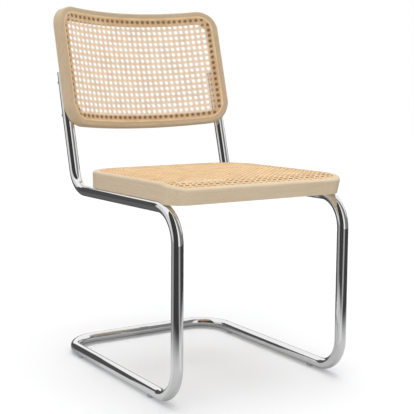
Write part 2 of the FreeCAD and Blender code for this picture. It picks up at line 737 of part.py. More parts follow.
def seat_layer(name, above, below):
    """A slab that follows the seat's upper face between two depths under it."""
    made = body(name)
    sketch = sketch_on(made, "YZ_Plane", name + "_section")
    start, fall = number(BEND_ALONG), number(size("waterfall_radius"))
    centre = number(SEAT_TOP) - fall
    outer, inner = fall - number(above), fall - number(below)
    turn = 90 + math.degrees(math.asin((start + 4 * number(size("seat_overhang"))) / fall))
    rear = number(SEAT_REAR) + number(size("seat_overhang"))
    upper = sketch.addGeometry(arc(start, centre, outer, 90, turn))
    lower = sketch.addGeometry(arc(start, centre, inner, 90, turn))
    ends = [
        Vector(
            start + radius * math.cos(math.radians(turn)),
            centre + radius * math.sin(math.radians(turn)),
            0,
        )
        for radius in (outer, inner)
    ]
    face = sketch.addGeometry(Part.LineSegment(*ends))
    top = sketch.addGeometry(line(start, centre + outer, rear, centre + outer))
    back = sketch.addGeometry(line(rear, centre + outer, rear, centre + inner))
    bottom = sketch.addGeometry(line(rear, centre + inner, start, centre + inner))
    for constraint in (
        ("Coincident", upper, 3, lower, 3),
        ("Coincident", upper, 2, face, 1),
        ("Coincident", face, 2, lower, 2),
        ("PointOnObject", upper, 3, face),
        ("Tangent", upper, 1, top, 1),
        ("Coincident", top, 2, back, 1),
        ("Coincident", back, 2, bottom, 1),
        ("Tangent", bottom, 2, lower, 1),
        ("Horizontal", top),
        ("Vertical", back),
        ("Horizontal", bottom),
    ):
        sketch.addConstraint(Sketcher.Constraint(*constraint))
    fix_point(sketch, upper, 3, BEND_ALONG, "(%s - Sizes.waterfall_radius)" % SEAT_TOP)
    limit(sketch, "Radius", (upper,), "Sizes.waterfall_radius - (%s)" % above)
    limit(sketch, "Radius", (lower,), "Sizes.waterfall_radius - (%s)" % below)
    limit(sketch, "DistanceX", (-1, 1, back, 1), "%s + Sizes.seat_overhang" % SEAT_REAR)
    limit(sketch, "DistanceX", (upper, 2, -1, 1), "4 * Sizes.seat_overhang")
    doc.recompute()
    pad(made, sketch, ACROSS_ALL, both_ways=True)
    return made


def seat_inset_plan(name, inset):
    """The seat's outline drawn in evenly, with its corners tightened to match."""
    front, rear = size("seat_front_corner"), size("seat_rear_corner")
    return seat_plan(name, inset, inset, "%s - %s" % (front, inset), "%s - %s" % (rear, inset))


def seat_ring(name, outer_inset, inner_inset, above, below):
    """A band round the seat between two insets and two depths."""
    outer = seat_inset_plan(name + "_outer", outer_inset)
    inner = seat_inset_plan(name + "_inner", inner_inset)
    band = cut(name + "_band", outer, inner)
    return common(name, band, seat_layer(name + "_layer", above, below))


def seat_tube_groove(name, side):
    """The room that one seat tube and the start of its front bend take in the wood."""
    made = body(name)
    sketch = sketch_on(made, "YZ_Plane", name + "_path", side + SIDE_X)
    start, bend = number(BEND_ALONG), number(size("front_bend_radius"))
    behind = "(%s + Sizes.seat_overhang)" % SEAT_REAR
    straight = sketch.addGeometry(line(number(behind), 0, start, 0))
    turn = sketch.addGeometry(arc(start, -bend, bend, 90, 180))
    sketch.addConstraint(Sketcher.Constraint("Tangent", straight, 2, turn, 1))
    sketch.addConstraint(Sketcher.Constraint("Horizontal", straight))
    fix_point(sketch, straight, 1, behind, "0")
    fix_point(sketch, turn, 3, BEND_ALONG, "-Sizes.front_bend_radius")
    sketch.addConstraint(Sketcher.Constraint("Horizontal", turn, 2, turn, 3))
    ring = sketch_on(made, "XZ_Plane", name + "_ring", "-" + behind)
    circles(ring, side + SIDE_X, "0", (SADDLE_R,))
    doc.recompute()
    pipe(made, ring, sketch)
    return made


def along_seat(position):
    """A distance behind the front leg axis, measured along the seat tube."""
    return "(%s / cos(Sizes.seat_slope))" % size(position)


SEAT_SCREW_X = "(Sizes.side_spacing / 2 - Sizes.bracket_reach)"
SEAT_SCREW_SPOTS = tuple(
    (side + SEAT_SCREW_X, along_seat(position))
    for name, side in SIDES
    for position in ("front_screw_position", "rear_screw_position")
)


def seat_bracket(name):
    """A steel tab, welded to the inner side of a seat tube, that the seat is screwed to."""
    tab = body(name + "_tab")
    underside = "%s - Sizes.bracket_thickness" % SEAT_BOTTOM
    sketch = sketch_on(tab, "XY_Plane", name + "_outline", underside)
    reach, half = number(size("bracket_reach")), number(size("bracket_width")) / 2
    near = sketch.addGeometry(line(0, -half, -reach, -half))
    end = sketch.addGeometry(arc(-reach, 0, half, 90, 270))
    far = sketch.addGeometry(line(-reach, half, 0, half))
    root = sketch.addGeometry(line(0, half, 0, -half))
    for constraint in (
        ("Tangent", near, 2, end, 2),
        ("Tangent", end, 1, far, 1),
        ("Coincident", far, 2, root, 1),
        ("Coincident", root, 2, near, 1),
        ("Horizontal", near),
        ("PointOnObject", root, 1, -2),
        ("PointOnObject", root, 2, -2),
    ):
        sketch.addConstraint(Sketcher.Constraint(*constraint))
    fix_point(sketch, end, 3, "-Sizes.bracket_reach", "0")
    limit(sketch, "Radius", (end,), "Sizes.bracket_width / 2")
    circles(sketch, "-Sizes.bracket_reach", "0", (SCREW_HOLE_R,))
    doc.recompute()
    pad(tab, sketch, size("bracket_thickness"))
    along = Rotation(ALONG_X, 90)
    length = size("bracket_width")
    tube = rod(name + "_tube", TUBE_R, "2 * " + length, "0", length, "0", along)
    return cut(name + "_shaped", tab, tube)


# Fasteners stand on the wood's surface at z = 0 and reach up into it.

INSERT_LENGTH = "(Sizes.screw_reach + Sizes.screw_end_room)"


def screw(name, grip):
    """A button-head screw that clamps the thickness given by the formula grip."""
    made = body(name)
    sketch = sketch_on(made, "XZ_Plane", name + "_section")
    head, face = "(Sizes.screw_head_diameter / 2)", "(Sizes.screw_face_diameter / 2)"
    under = "(-(%s))" % grip
    far = "(-(%s) - Sizes.screw_head_height)" % grip
    crown = "(%s + Sizes.screw_head_height / 2)" % far
    tip = size("screw_reach")
    points = (
        ("0", far),
        (face, far),
        (head, crown),
        (head, under),
        (SCREW_R, under),
        (SCREW_R, tip),
        ("0", tip),
    )
    outline(sketch, points)
    doc.recompute()
    revolve(made, sketch)
    socket = sketch_on(made, "XY_Plane", name + "_socket", far)
    corner = number(size("screw_socket")) / math.sqrt(3)
    for index in range(6):
        ends = [math.radians(60 * (index + step)) for step in (0, 1)]
        spots = [(corner * math.cos(angle), corner * math.sin(angle)) for angle in ends]
        socket.addGeometry(line(*spots[0], *spots[1]))
    radius = "Sizes.screw_socket / sqrt(3)"
    rim = socket.addGeometry(Part.Circle(Vector(0, 0, 0), UP, corner), True)
    socket.addConstraint(Sketcher.Constraint("Coincident", rim, 3, -1, 1))
    limit(socket, "Radius", (rim,), radius)
    for index in range(6):
        socket.addConstraint(Sketcher.Constraint("Coincident", index, 2, (index + 1) % 6, 1))
        socket.addConstraint(Sketcher.Constraint("PointOnObject", index, 1, rim))
        if index:
            socket.addConstraint(Sketcher.Constraint("Equal", 0, index))
    socket.addConstraint(Sketcher.Constraint("PointOnObject", 0, 1, -1))
    doc.recompute()
    pocket = made.newObject("PartDesign::Pocket", name + "_recess")
    pocket.Profile = socket
    pocket.Reversed = True
    bind(pocket, "Length", size("screw_socket_depth"))
    made.Tip = pocket
    return made


def seat_screw(name):
    return screw(name, size("bracket_thickness"))


def back_screw(name):
    return screw(name, "%s + %s" % (TUBE_R, SADDLE_R))


def insert(name):
    """A threaded bush set flush in the wood."""
    made = body(name)
    ring = sketch_on(made, "XY_Plane", name + "_ring")
    circles(ring, "0", "0", (INSERT_R, "(%s + Sizes.sliding_clearance)" % SCREW_R))
    doc.recompute()
    pad(made, ring, INSERT_LENGTH)
    return made


def put(thing, x, y, z="0", turn=None):
    """Sets a fastener at a spot in its group's frame."""
    thing.Placement = Placement(Vector(0, 0, 0), turn or Rotation())
    bind(thing, "Placement.Base.x", x)
    bind(thing, "Placement.Base.y", y)
    bind(thing, "Placement.Base.z", z)
    return thing


def tube_drill(name):
    """The hole for a back screw through both walls of an upright."""
    return group(name, [rod(name + "_rod", SCREW_HOLE_R, "4 * " + TUBE_R, z="-4 * " + TUBE_R)])


def wood_drill(name):
    """The hole for an insert, started a little outside the wood."""
    start = "(-%s / 2)" % TUBE_R
    return group(name, [rod(name + "_rod", INSERT_R, "%s - %s" % (INSERT_LENGTH, start), z=start)])


def at_seat_spots(name, make):
    """One of something at each seat screw."""
    spots = enumerate(SEAT_SCREW_SPOTS, start=1)
    return [put(make("%s_%d" % (name, index)), x, y, SEAT_BOTTOM) for index, (x, y) in spots]


def seat_frame():
    """The seat's wooden frame, with its opening, its cane rebate and the tube grooves."""
    opening = seat_plan(
        "seat_opening",
        size("seat_side_rail"),
        size("seat_front_rail"),
        size("seat_opening_corner"),
        "(Sizes.seat_rear_corner - Sizes.seat_side_rail)",
    )
    clear = "-2 * Sizes.cane_thickness"
    groove = seat_ring(
        "seat_groove",
        size("groove_inset"),
        GROOVE_INNER,
        clear,
        size("groove_depth"),
    )
    rebate = common(
        "seat_rebate",
        seat_inset_plan("seat_rebate_plan", GROOVE_INNER),
        seat_layer("seat_rebate_layer", clear, size("cane_thickness")),
    )
    tools = [opening, groove, rebate]
    tools += [seat_tube_groove("seat_groove_" + name, side) for name, side in SIDES]
    tools += at_seat_spots("seat_insert_hole", wood_drill)
    return cut("seat_frame", seat_blank(), fuse("seat_cuts", tools))


def seat_cane():
    """The seat's cane: a sheet that follows the frame, open inside the frame's opening."""
    blank = common(
        "seat_cane_blank",
        seat_inset_plan("seat_cane_plan", GROOVE_INNER),
        seat_layer("seat_cane_layer", "0", size("cane_thickness")),
    )
    ahead = "(%s + Sizes.seat_front_rail)" % SEAT_FRONT
    behind = "(%s - Sizes.seat_side_rail)" % SEAT_REAR
    beside = "(%s - Sizes.seat_side_rail)" % seat_half_width(behind)
    x_ends, y_ends, z_ends = ("-" + beside, beside), (ahead, behind), ("0", "(2 * %s)" % SEAT_TOP)
    across, along = SEAT_OPENINGS
    columns = [
        slab("seat_cane_column_%d" % index, slot_ends(*x_ends, across, index), y_ends, z_ends)
        for index in range(across)
    ]
    rows = [
        slab("seat_cane_row_%d" % index, x_ends, slot_ends(*y_ends, along, index), z_ends)
        for index in range(along)
    ]
    openings = common(
        "seat_cane_openings",
        group("seat_cane_columns", columns),
        group("seat_cane_rows", rows),
    )
    return cut("seat_cane", blank, openings)


def seat_spline():
    return seat_ring(
        "seat_spline",
        "(Sizes.groove_inset + Sizes.spline_clearance)",
        "(%s - Sizes.spline_clearance)" % GROOVE_INNER,
        size("spline_clearance"),
        size("groove_depth"),
    )


# The back, drawn round the axis of its curve: z runs up the lean from the uprights' feet.

CANE_REAR_R = "(Sizes.back_radius + Sizes.cane_thickness)"

BACK_HALF_TURN = "asin(%s / Sizes.back_radius)" % BACK_HALF


def sector_sketch(owner, name, inner, outer, inset, height):
    """A curved strip in plan between two radii, its ends square to the curve."""
    sketch = sketch_on(owner, "XY_Plane", name, height)
    share = "(%s - %s / Sizes.back_radius * 1 rad)" % (BACK_HALF_TURN, inset)
    half, near, far = number(share), number(inner), number(outer)
    front = sketch.addGeometry(arc(0, 0, near, 90 - half, 90 + half))
    rear = sketch.addGeometry(arc(0, 0, far, 90 - half, 90 + half))
    ends = {}
    for side, angle in ((1, 90 - half), (2, 90 + half)):
        across, ahead = math.cos(math.radians(angle)), math.sin(math.radians(angle))
        ends[side] = sketch.addGeometry(line(near * across, near * ahead, far * across, far * ahead))
    for constraint in (
        ("Coincident", front, 3, -1, 1),
        ("Coincident", rear, 3, -1, 1),
        ("Coincident", ends[1], 1, front, 1),
        ("Coincident", ends[1], 2, rear, 1),
        ("Coincident", ends[2], 1, front, 2),
        ("Coincident", ends[2], 2, rear, 2),
        ("PointOnObject", -1, 1, ends[1]),
        ("PointOnObject", -1, 1, ends[2]),
    ):
        sketch.addConstraint(Sketcher.Constraint(*constraint))
    limit(sketch, "Radius", (front,), inner)
    limit(sketch, "Radius", (rear,), outer)
    reach = "(%s) * sin(%s)" % (outer, share)
    limit(sketch, "DistanceX", (-1, 1, rear, 1), reach)
    limit(sketch, "DistanceX", (rear, 2, -1, 1), reach)
    return sketch


def curved_block(name, inner, outer, inset, corner):
    """A piece of the back's curve between two radii, drawn in by an inset."""
    made = body(name)
    sketch = sector_sketch(made, name + "_plan", inner, outer, inset, "Sizes.back_bottom + " + inset)
    doc.recompute()
    block = pad(made, sketch, "Sizes.back_height - 2 * " + inset)
    corners = edges_where(block, is_level_end)
    round_edges(made, block, corners, corner, name + "_corners")
    return made


def is_level_end(edge):
    """True for a straight level edge at a corner of the back."""
    if edge.Curve.TypeId != "Part::GeomLine":
        return False
    return abs(edge.Vertexes[0].Point.z - edge.Vertexes[-1].Point.z) < TOUCH


def on_back_faces(edge):
    """True for an edge round the front or rear face of the back."""
    for radius in (number(size("back_radius")), number(BACK_REAR_R)):
        if all(abs(math.hypot(spot.x, spot.y) - radius) < TOUCH for spot in spots_of(edge)):
            return True
    return False


def back_inset_block(name, inset):
    """The back's outline drawn in evenly, through more than its whole thickness."""
    return curved_block(name, BACK_NEAR_R, BACK_FAR_R, inset, "Sizes.back_corner - " + inset)


def back_layer(name, near, far):
    """A shell of the back's curve between two radii, with square corners."""
    made = body(name)
    sketch = sector_sketch(made, name + "_plan", near, far, "0", size("back_bottom"))
    doc.recompute()
    pad(made, sketch, size("back_height"))
    return made


def back_ring(name, outer_inset, inner_inset, near, far):
    """A band round the back between two insets and two radii."""
    outer = back_inset_block(name + "_outer", outer_inset)
    inner = back_inset_block(name + "_inner", inner_inset)
    band = cut(name + "_band", outer, inner)
    return common(name, band, back_layer(name + "_layer", near, far))


BACK_SCREW_POSITIONS = ("lower_screw_position", "upper_screw_position")


def radial_turn(side):
    """The turn that points an upright piece inward across the back's curve."""
    angle = number(UPRIGHT_ANGLE) * (-1 if side == "" else 1)
    return Rotation(UP, angle).multiply(Rotation(ALONG_X, 90))


def at_back_spots(name, make, sides=("", "-")):
    """One of something at each back screw, pointing inward from the upright's groove."""
    pieces = []
    for side in sides:
        for index, position in enumerate(BACK_SCREW_POSITIONS, start=1):
            label = "%s_%s_%d" % (name, "right" if side else "left", index)
            x = "%s%s * sin(%s)" % (side, GROOVE_BOTTOM_R, UPRIGHT_ANGLE)
            y = "%s * cos(%s)" % (GROOVE_BOTTOM_R, UPRIGHT_ANGLE)
            pieces.append(put(make(label), x, y, size(position), radial_turn(side)))
    return pieces


def back_frame():
    """The back's wooden frame, with its opening, its cane rebate and the upright grooves."""
    near, far = size("back_radius"), BACK_REAR_R
    blank = curved_block("back_blank", near, far, "0", size("back_corner"))
    blank = soften("back_edges", blank, on_back_faces, size("back_edge_radius"))
    opening = curved_block(
        "back_opening", BACK_NEAR_R, BACK_FAR_R, size("back_rail"), size("back_opening_corner")
    )
    groove = back_ring(
        "back_groove",
        size("groove_inset"),
        GROOVE_INNER,
        BACK_NEAR_R,
        "(%s + Sizes.groove_depth)" % near,
    )
    rebate = common(
        "back_rebate",
        back_inset_block("back_rebate_block", GROOVE_INNER),
        back_layer("back_rebate_layer", BACK_NEAR_R, CANE_REAR_R),
    )
    tools = [opening, groove, rebate]
    for name, side in SIDES:
        length = "Sizes.upright_length + Sizes.cap_dome + Sizes.saddle_clearance"
        tools.append(rod("back_groove_" + name, SADDLE_R, length, side + SIDE_X, BACK_CENTRE))
    tools += at_back_spots("back_insert_hole", wood_drill)
    return cut("back_frame", blank, fuse("back_cuts", tools))


def back_cane():
    """The back's cane: a sheet that follows the frame, open inside the frame's opening."""
    blank = common(
        "back_cane_blank",
        back_inset_block("back_cane_block", GROOVE_INNER),
        back_layer("back_cane_layer", size("back_radius"), CANE_REAR_R),
    )
    across, along = BACK_OPENINGS
    round_curve = "(%s * Sizes.back_radius / 1 rad - Sizes.back_rail)" % BACK_HALF_TURN
    pitch = "(2 * %s / %d)" % (round_curve, across)
    half_open = "((%s - Sizes.cane_strip) / 2)" % pitch
    depth = (BACK_NEAR_R, BACK_FAR_R)
    z_ends = ("(Sizes.back_bottom + Sizes.back_rail)", "(%s - Sizes.back_rail)" % BACK_TOP)
    columns, rows = [], []
    for index in range(across):
        name = "back_cane_column_%d" % index
        column = group(name, [slab(name + "_slab", ("-" + half_open, half_open), depth, z_ends)])
        turn = "(%.1f * %s / Sizes.back_radius * 1 rad)" % (index - (across - 1) / 2, pitch)
        column.Placement = Placement(Vector(0, 0, 0), Rotation(UP, number(turn)))
        columns.append(column)
    for index in range(along):
        name = "back_cane_row_%d" % index
        all_across = ("-" + ACROSS_ALL, ACROSS_ALL)
        rows.append(slab(name, all_across, ("0", BACK_FAR_R), slot_ends(*z_ends, along, index)))
    openings = common(
        "back_cane_openings",
        group("back_cane_columns", columns),
        group("back_cane_rows", rows),
    )
    return cut("back_cane", blank, openings)


def back_spline():
    near = "(Sizes.back_radius + Sizes.spline_clearance)"
    return back_ring(
        "back_spline",
        "(Sizes.groove_inset + Sizes.spline_clearance)",
        "(%s - Sizes.spline_clearance)" % GROOVE_INNER,
        near,
        "(Sizes.back_radius + Sizes.groove_depth)",
    )


# The whole chair.

GLIDE_SPOTS = tuple(
    (end + "_" + name, side + SIDE_X, size(end + "_glide_position"))
    for name, side in SIDES
    for end in ("front", "rear")
)


def base_frame_tube():
    """The base, drilled for the glides' stems."""
    stems = []
    for name, x, y in GLIDE_SPOTS:
        hole = "(Sizes.glide_stem_diameter / 2 + Sizes.sliding_clearance)"
        stems.append(rod(name + "_stem_hole", hole, FLOOR_TUBE_Z, x, y))
    return cut("base_frame_tube", base_tube_blank(), place(fuse("stem_drills", stems)))


def back_tube(name, side):
    """An upright with the rear of its seat tube, drilled for the back screws."""
    blank = place_on_seat(upright_blank(name + "_blank"))
    bind(blank, "Placement.Base.x", side + SIDE_X)
    drills = fuse(name + "_drills", at_back_spots(name + "_drill", tube_drill, (side,)))
    return cut(name, blank, place_on_back(drills))


def build():
    """Every piece of the chair, each with its name and its place."""
    pieces = [base_frame_tube()]
    top_y = "Sizes.upright_position + Sizes.upright_length * sin(Sizes.recline)"
    top_z = "%s + Sizes.upright_length * cos(Sizes.recline)" % FOOT_Z
    for name, side in SIDES:
        pieces.append(back_tube(name + "_back_tube", side))
        sleeve = place_on_seat(joint_sleeve(name + "_joint_sleeve"))
        bind(sleeve, "Placement.Base.x", side + SIDE_X)
        pieces.append(sleeve)
        cap = end_cap(name + "_tube_end_cap")
        pieces.append(place(cap, side + SIDE_X, top_y, top_z, size("recline")))
    for name, x, y in GLIDE_SPOTS:
        pieces.append(place(glide("glide_" + name), x, y))
    pieces += [place_on_seat(piece) for piece in (seat_frame(), seat_cane(), seat_spline())]
    pieces += [place_on_back(piece) for piece in (back_frame(), back_cane(), back_spline())]
    for end in ("front", "rear"):
        for side_name, side in SIDES:
            name = "seat_bracket_%s_%s" % (end, side_name)
            turn = Rotation(UP, 180 if side else 0)
            bracket = put(seat_bracket(name), side + SIDE_X, along_seat(end + "_screw_position"), turn=turn)
            pieces.append(place_on_seat(group(name, [bracket])))
    pieces.append(place_on_seat(group("seat_screws", at_seat_spots("seat_screw", seat_screw))))
    pieces.append(place_on_seat(group("seat_inserts", at_seat_spots("seat_insert", insert))))
    pieces.append(place_on_back(group("back_screws", at_back_spots("back_screw", back_screw))))
    pieces.append(place_on_back(group("back_inserts", at_back_spots("back_insert", insert))))
    return pieces


def check(pieces):
    """Stops if anything failed to rebuild or a piece is not a sound solid."""
    failed = [thing.Name for thing in doc.Objects if {"Invalid", "Error"} & set(thing.State)]
    if failed:
        raise RuntimeError("not rebuilt: " + ", ".join(failed))
    for piece in pieces:
        shape = piece.Shape
        if shape.isNull() or not shape.isValid() or not shape.Solids:
            raise RuntimeError("not a sound solid: " + piece.Label)


chair = build()
doc.recompute()
check(chair)
os.makedirs("parts", exist_ok=True)
for piece in chair:
    piece.Shape.exportStep("parts/%s.step" % piece.Label)
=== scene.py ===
"""Looks of the cantilever dining chair: chromed tube, beech frames and woven cane.

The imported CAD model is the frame. Its solids keep their places and get their finishes
here, and the two plain cane sheets are replaced by woven ones.
"""

import logging
import math
from dataclasses import dataclass, field
from enum import Enum
from typing import Callable, Dict, Iterable, List, Optional, Sequence, Tuple, Union

import bpy
import numpy as np
from mathutils import Matrix, Vector

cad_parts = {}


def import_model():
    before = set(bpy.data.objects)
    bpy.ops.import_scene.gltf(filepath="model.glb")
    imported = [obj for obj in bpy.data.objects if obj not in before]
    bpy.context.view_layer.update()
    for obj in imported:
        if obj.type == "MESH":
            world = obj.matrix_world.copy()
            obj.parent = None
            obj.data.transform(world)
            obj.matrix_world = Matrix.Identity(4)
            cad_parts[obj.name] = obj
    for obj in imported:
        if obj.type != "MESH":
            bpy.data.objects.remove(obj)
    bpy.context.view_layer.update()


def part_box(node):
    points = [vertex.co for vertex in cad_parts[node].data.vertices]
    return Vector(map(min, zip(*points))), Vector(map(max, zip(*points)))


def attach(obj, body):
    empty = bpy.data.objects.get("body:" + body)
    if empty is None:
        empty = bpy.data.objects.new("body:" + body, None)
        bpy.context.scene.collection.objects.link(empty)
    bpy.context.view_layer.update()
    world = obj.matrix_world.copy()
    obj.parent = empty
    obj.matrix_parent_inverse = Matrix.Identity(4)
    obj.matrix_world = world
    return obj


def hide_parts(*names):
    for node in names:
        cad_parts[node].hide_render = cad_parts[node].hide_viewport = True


LOG = logging.getLogger("chair")
MM = 0.001
WHITE = (1.0, 1.0, 1.0, 1.0)
# How strong each finer octave of a noise is, as a share of the one before it.
NOISE_ROUGHNESS = 0.55
# Farther out than anything on the chair, in metres.
FAR = 10.0
# Painted light and shade on a woven sheet's points: under 0 a point is painted lighter, as on top
# of the weave, and over 0 darker, as in the shade of the strands over it.
WEAVE_PAINTED_SHADE = "weave_painted_shade"
# How many corners a cane strand's section has.
CORNERS = 4
# A Mix node's sockets share their names, and so they are told apart by number.
MIX_FACTOR, MIX_FLOAT_A, MIX_FLOAT_B, MIX_COLOUR_A, MIX_COLOUR_B = 0, 2, 3, 6, 7
MIX_FLOAT_OUT, MIX_COLOUR_OUT = 0, 2

Colour = Tuple[float, float, float, float]
Point = Tuple[float, float, float]
FlatPoint = Tuple[float, float]
# Where something starts and ends, and a length with its width.
Span = Tuple[float, float]
Size = Tuple[float, float]
Key = Union[str, int]
Surface = Callable[[np.ndarray, np.ndarray, np.ndarray], np.ndarray]
Inside = Callable[[float, float], bool]


def linear(code: str) -> Colour:
    """Turns an sRGB hex colour into the linear one that Blender works in.

    Args:
        code: The colour as "#RRGGBB".

    Returns:
        Red, green, blue and alpha, each from 0 to 1.
    """
    parts = [int(code[start:start + 2], 16) / 255 for start in (1, 3, 5)]
    # The two pieces of the sRGB standard's own curve.
    channels = [p / 12.92 if p <= 0.04045 else ((p + 0.055) / 1.055) ** 2.4 for p in parts]
    return (channels[0], channels[1], channels[2], 1.0)


def add_node(tree: bpy.types.NodeTree, kind: str, settings: Optional[Dict[Key, object]] = None,
             links: Optional[Dict[Key, bpy.types.NodeSocket]] = None) -> bpy.types.Node:
    """Adds a shader node with its settings and its incoming links.

    Args:
        tree: The node tree that gets the node.
        kind: The node's type name.
        settings: Values for its properties, or for its sockets where the key is a socket's
            name or number.
        links: Output sockets to link in, by the name or number of the input.

    Returns:
        The new node.
    """
    node = tree.nodes.new(kind)
    for key, value in (settings or {}).items():
        if isinstance(key, int) or key in node.inputs:
            node.inputs[key].default_value = value
        else:
            setattr(node, key, value)
    for key, source in (links or {}).items():
        tree.links.new(source, node.inputs[key])
    return node


def new_material(name: str) -> Tuple[bpy.types.Material, bpy.types.NodeTree]:
    """Makes a material that has no nodes yet.

    Args:
        name: The material's name.

    Returns:
        The material and its node tree.
    """
    material = bpy.data.materials.new(name)
    material.use_nodes = True
    material.node_tree.nodes.clear()
    return material, material.node_tree


def stretched(tree: bpy.types.NodeTree, size_mm: Sequence[float],
              detail: float) -> bpy.types.NodeSocket:
    """Adds noise whose grains have a real size along each axis of the object.

    Args:
        tree: The node tree that gets the noise.
        size_mm: The grain's length along X, Y and Z.
        detail: How many finer octaves the noise has.

    Returns:
        The socket of the noise's strength.
    """
    where = add_node(tree, "ShaderNodeTexCoord")
    scale = tuple(1 / (length * MM) for length in size_mm)
    mapped = add_node(tree, "ShaderNodeMapping", {"Scale": scale},
                      {"Vector": where.outputs["Object"]})
    noise = add_node(tree, "ShaderNodeTexNoise",
                     {"Scale": 1.0, "Detail": detail, "Roughness": NOISE_ROUGHNESS},
                     {"Vector": mapped.outputs["Vector"]})
    return noise.outputs["Fac"]


def two_colours(tree: bpy.types.NodeTree, factor: bpy.types.NodeSocket, low: str, high: str,
                span: Span = (0.35, 0.65)) -> bpy.types.NodeSocket:
    """Spreads a factor between two colours.

    Args:
        tree: The node tree that gets the ramp.
        factor: The factor's socket.
        low: The colour at and under the span's start.
        high: The colour at and over its end.
        span: Where the first colour ends and the second begins.

    Returns:
        The colour socket.
    """
    ramp = add_node(tree, "ShaderNodeValToRGB", {}, {"Fac": factor})
    for element, place, code in zip(ramp.color_ramp.elements, span, (low, high)):
        element.position = place
        element.color = linear(code)
    return ramp.outputs["Color"]


def add_mesh(name: str, points: List[Point], faces: List[Sequence[int]]) -> bpy.types.Object:
    """Adds a mesh object to the scene.

    Args:
        name: The object's name.
        points: Its points in metres.
        faces: The numbers of the points round each face.

    Returns:
        The new object.
    """
    mesh = bpy.data.meshes.new(name)
    mesh.from_pydata(points, [], faces)
    thing = bpy.data.objects.new(name, mesh)
    bpy.context.scene.collection.objects.link(thing)
    return thing


def dress(nodes: Iterable[str], material: bpy.types.Material) -> None:
    """Gives CAD nodes one material.

    Args:
        nodes: The nodes' names.
        material: What they are made of.
    """
    for name in nodes:
        thing = bpy.data.objects[name]
        thing.data.materials.clear()
        thing.data.materials.append(material)
        LOG.info("%s: %s", name, material.name)


@dataclass(frozen=True)
class ChromedSteel:
    """Bright nickel-chrome plate on polished steel tube: a mirror that bends what it shows."""

    name: str = "chrome-plated steel, polished"
    colour: str = "#ECECEC"
    # Wiping leaves a faint haze, which takes the roughness up and down by a share of it.
    roughness: float = 0.045
    roughness_swing: float = 0.3
    haze_mm: float = 15.0
    haze_detail: float = 3.0
    # Drawing and bending leave the tube slowly wavy, so that its reflections waver.
    wave_mm: float = 45.0
    wave_detail: float = 1.0
    wave_height_mm: float = 0.012

    def make(self) -> bpy.types.Material:
        """Makes the material: a slow wave in the surface and a faint haze in the polish.

        Returns:
            The material.
        """
        material, tree = new_material(self.name)
        bump = add_node(tree, "ShaderNodeBump", {"Distance": self.wave_height_mm * MM},
                        {"Height": stretched(tree, (self.wave_mm,) * 3, self.wave_detail)})
        rough = add_node(tree, "ShaderNodeMapRange",
                         {"To Min": self.roughness * (1 - self.roughness_swing),
                          "To Max": self.roughness * (1 + self.roughness_swing)},
                         {"Value": stretched(tree, (self.haze_mm,) * 3, self.haze_detail)})
        surface = add_node(tree, "ShaderNodeBsdfPrincipled",
                           {"Base Color": linear(self.colour), "Metallic": 1.0},
                           {"Roughness": rough.outputs["Result"],
                            "Normal": bump.outputs["Normal"]})
        add_node(tree, "ShaderNodeOutputMaterial", {}, {"Surface": surface.outputs["BSDF"]})
        return material


class RailAxis(Enum):
    """The way that the side rails of a wooden frame run, by the number of its axis."""

    DEPTH = 1
    HEIGHT = 2


class Facing(Enum):
    """Which way a curved face looks: away from the axis of its curve, or toward it."""

    AWAY = 1
    TOWARD = -1


@dataclass(frozen=True)
class ShownFace:
    """Where a frame's shown face lies: a radius from an axis, once its lean is undone."""

    lean: float
    foot_mm: Point
    axis_mm: Point
    radius_mm: float
    facing: Facing
    # Which axes count toward the radius, and whether the face goes on flat behind its curve.
    across: Point
    flat_behind: bool
    # The floor of the rebate begins between these depths under the face.
    floor_mm: Span = (0.6, 1.0)
    # The cosines between which a face begins to look the same way as the shown one.
    same_way: Span = (0.93, 0.96)

    def rebate(self, tree: bpy.types.NodeTree) -> bpy.types.NodeSocket:
        """Finds the faces that look the same way but lie deeper: the floor of the rebate, where
        shade is painted.

        Args:
            tree: The node tree that gets the mask.

        Returns:
            A socket that is 1 on the rebate's floor and 0 elsewhere.
        """
        lean, sign = math.radians(self.lean), self.facing.value
        foot_x, foot_y, foot_z = self.foot_mm
        moved = (-foot_x - self.axis_mm[0],
                 -foot_y * math.cos(lean) + foot_z * math.sin(lean) - self.axis_mm[1],
                 -foot_y * math.sin(lean) - foot_z * math.cos(lean) - self.axis_mm[2])
        where = add_node(tree, "ShaderNodeTexCoord")
        place = add_node(tree, "ShaderNodeMapping",
                         {"Rotation": (lean, 0.0, 0.0), "Location": tuple(m * MM for m in moved)},
                         {"Vector": where.outputs["Object"]})
        farthest = (FAR, 0.0 if self.flat_behind else FAR, FAR)
        flat = add_node(tree, "ShaderNodeVectorMath", {"operation": "MINIMUM", 1: farthest},
                        {0: place.outputs["Vector"]})
        kept = add_node(tree, "ShaderNodeVectorMath", {"operation": "MULTIPLY", 1: self.across},
                        {0: flat.outputs["Vector"]})
        length = add_node(tree, "ShaderNodeVectorMath", {"operation": "LENGTH"},
                          {0: kept.outputs["Vector"]})
        out = add_node(tree, "ShaderNodeVectorMath", {"operation": "NORMALIZE"},
                       {0: kept.outputs["Vector"]})
        normal = add_node(tree, "ShaderNodeMapping",
                          {"vector_type": "VECTOR", "Rotation": (lean, 0.0, 0.0)},
                          {"Vector": where.outputs["Normal"]})
        cosine = add_node(tree, "ShaderNodeVectorMath", {"operation": "DOT_PRODUCT"},
                          {0: out.outputs["Vector"], 1: normal.outputs["Vector"]})
        alike = add_node(tree, "ShaderNodeMapRange",
                         {"From Min": self.same_way[0] * sign,
                          "From Max": self.same_way[1] * sign},
                         {"Value": cosine.outputs["Value"]})
        start, end = (self.radius_mm - sign * depth for depth in self.floor_mm)
        deeper = add_node(tree, "ShaderNodeMapRange",
                          {"From Min": start * MM, "From Max": end * MM},
                          {"Value": length.outputs["Value"]})
        both = add_node(tree, "ShaderNodeMath", {"operation": "MULTIPLY"},
                        {0: alike.outputs["Result"], 1: deeper.outputs["Result"]})
        return both.outputs["Value"]


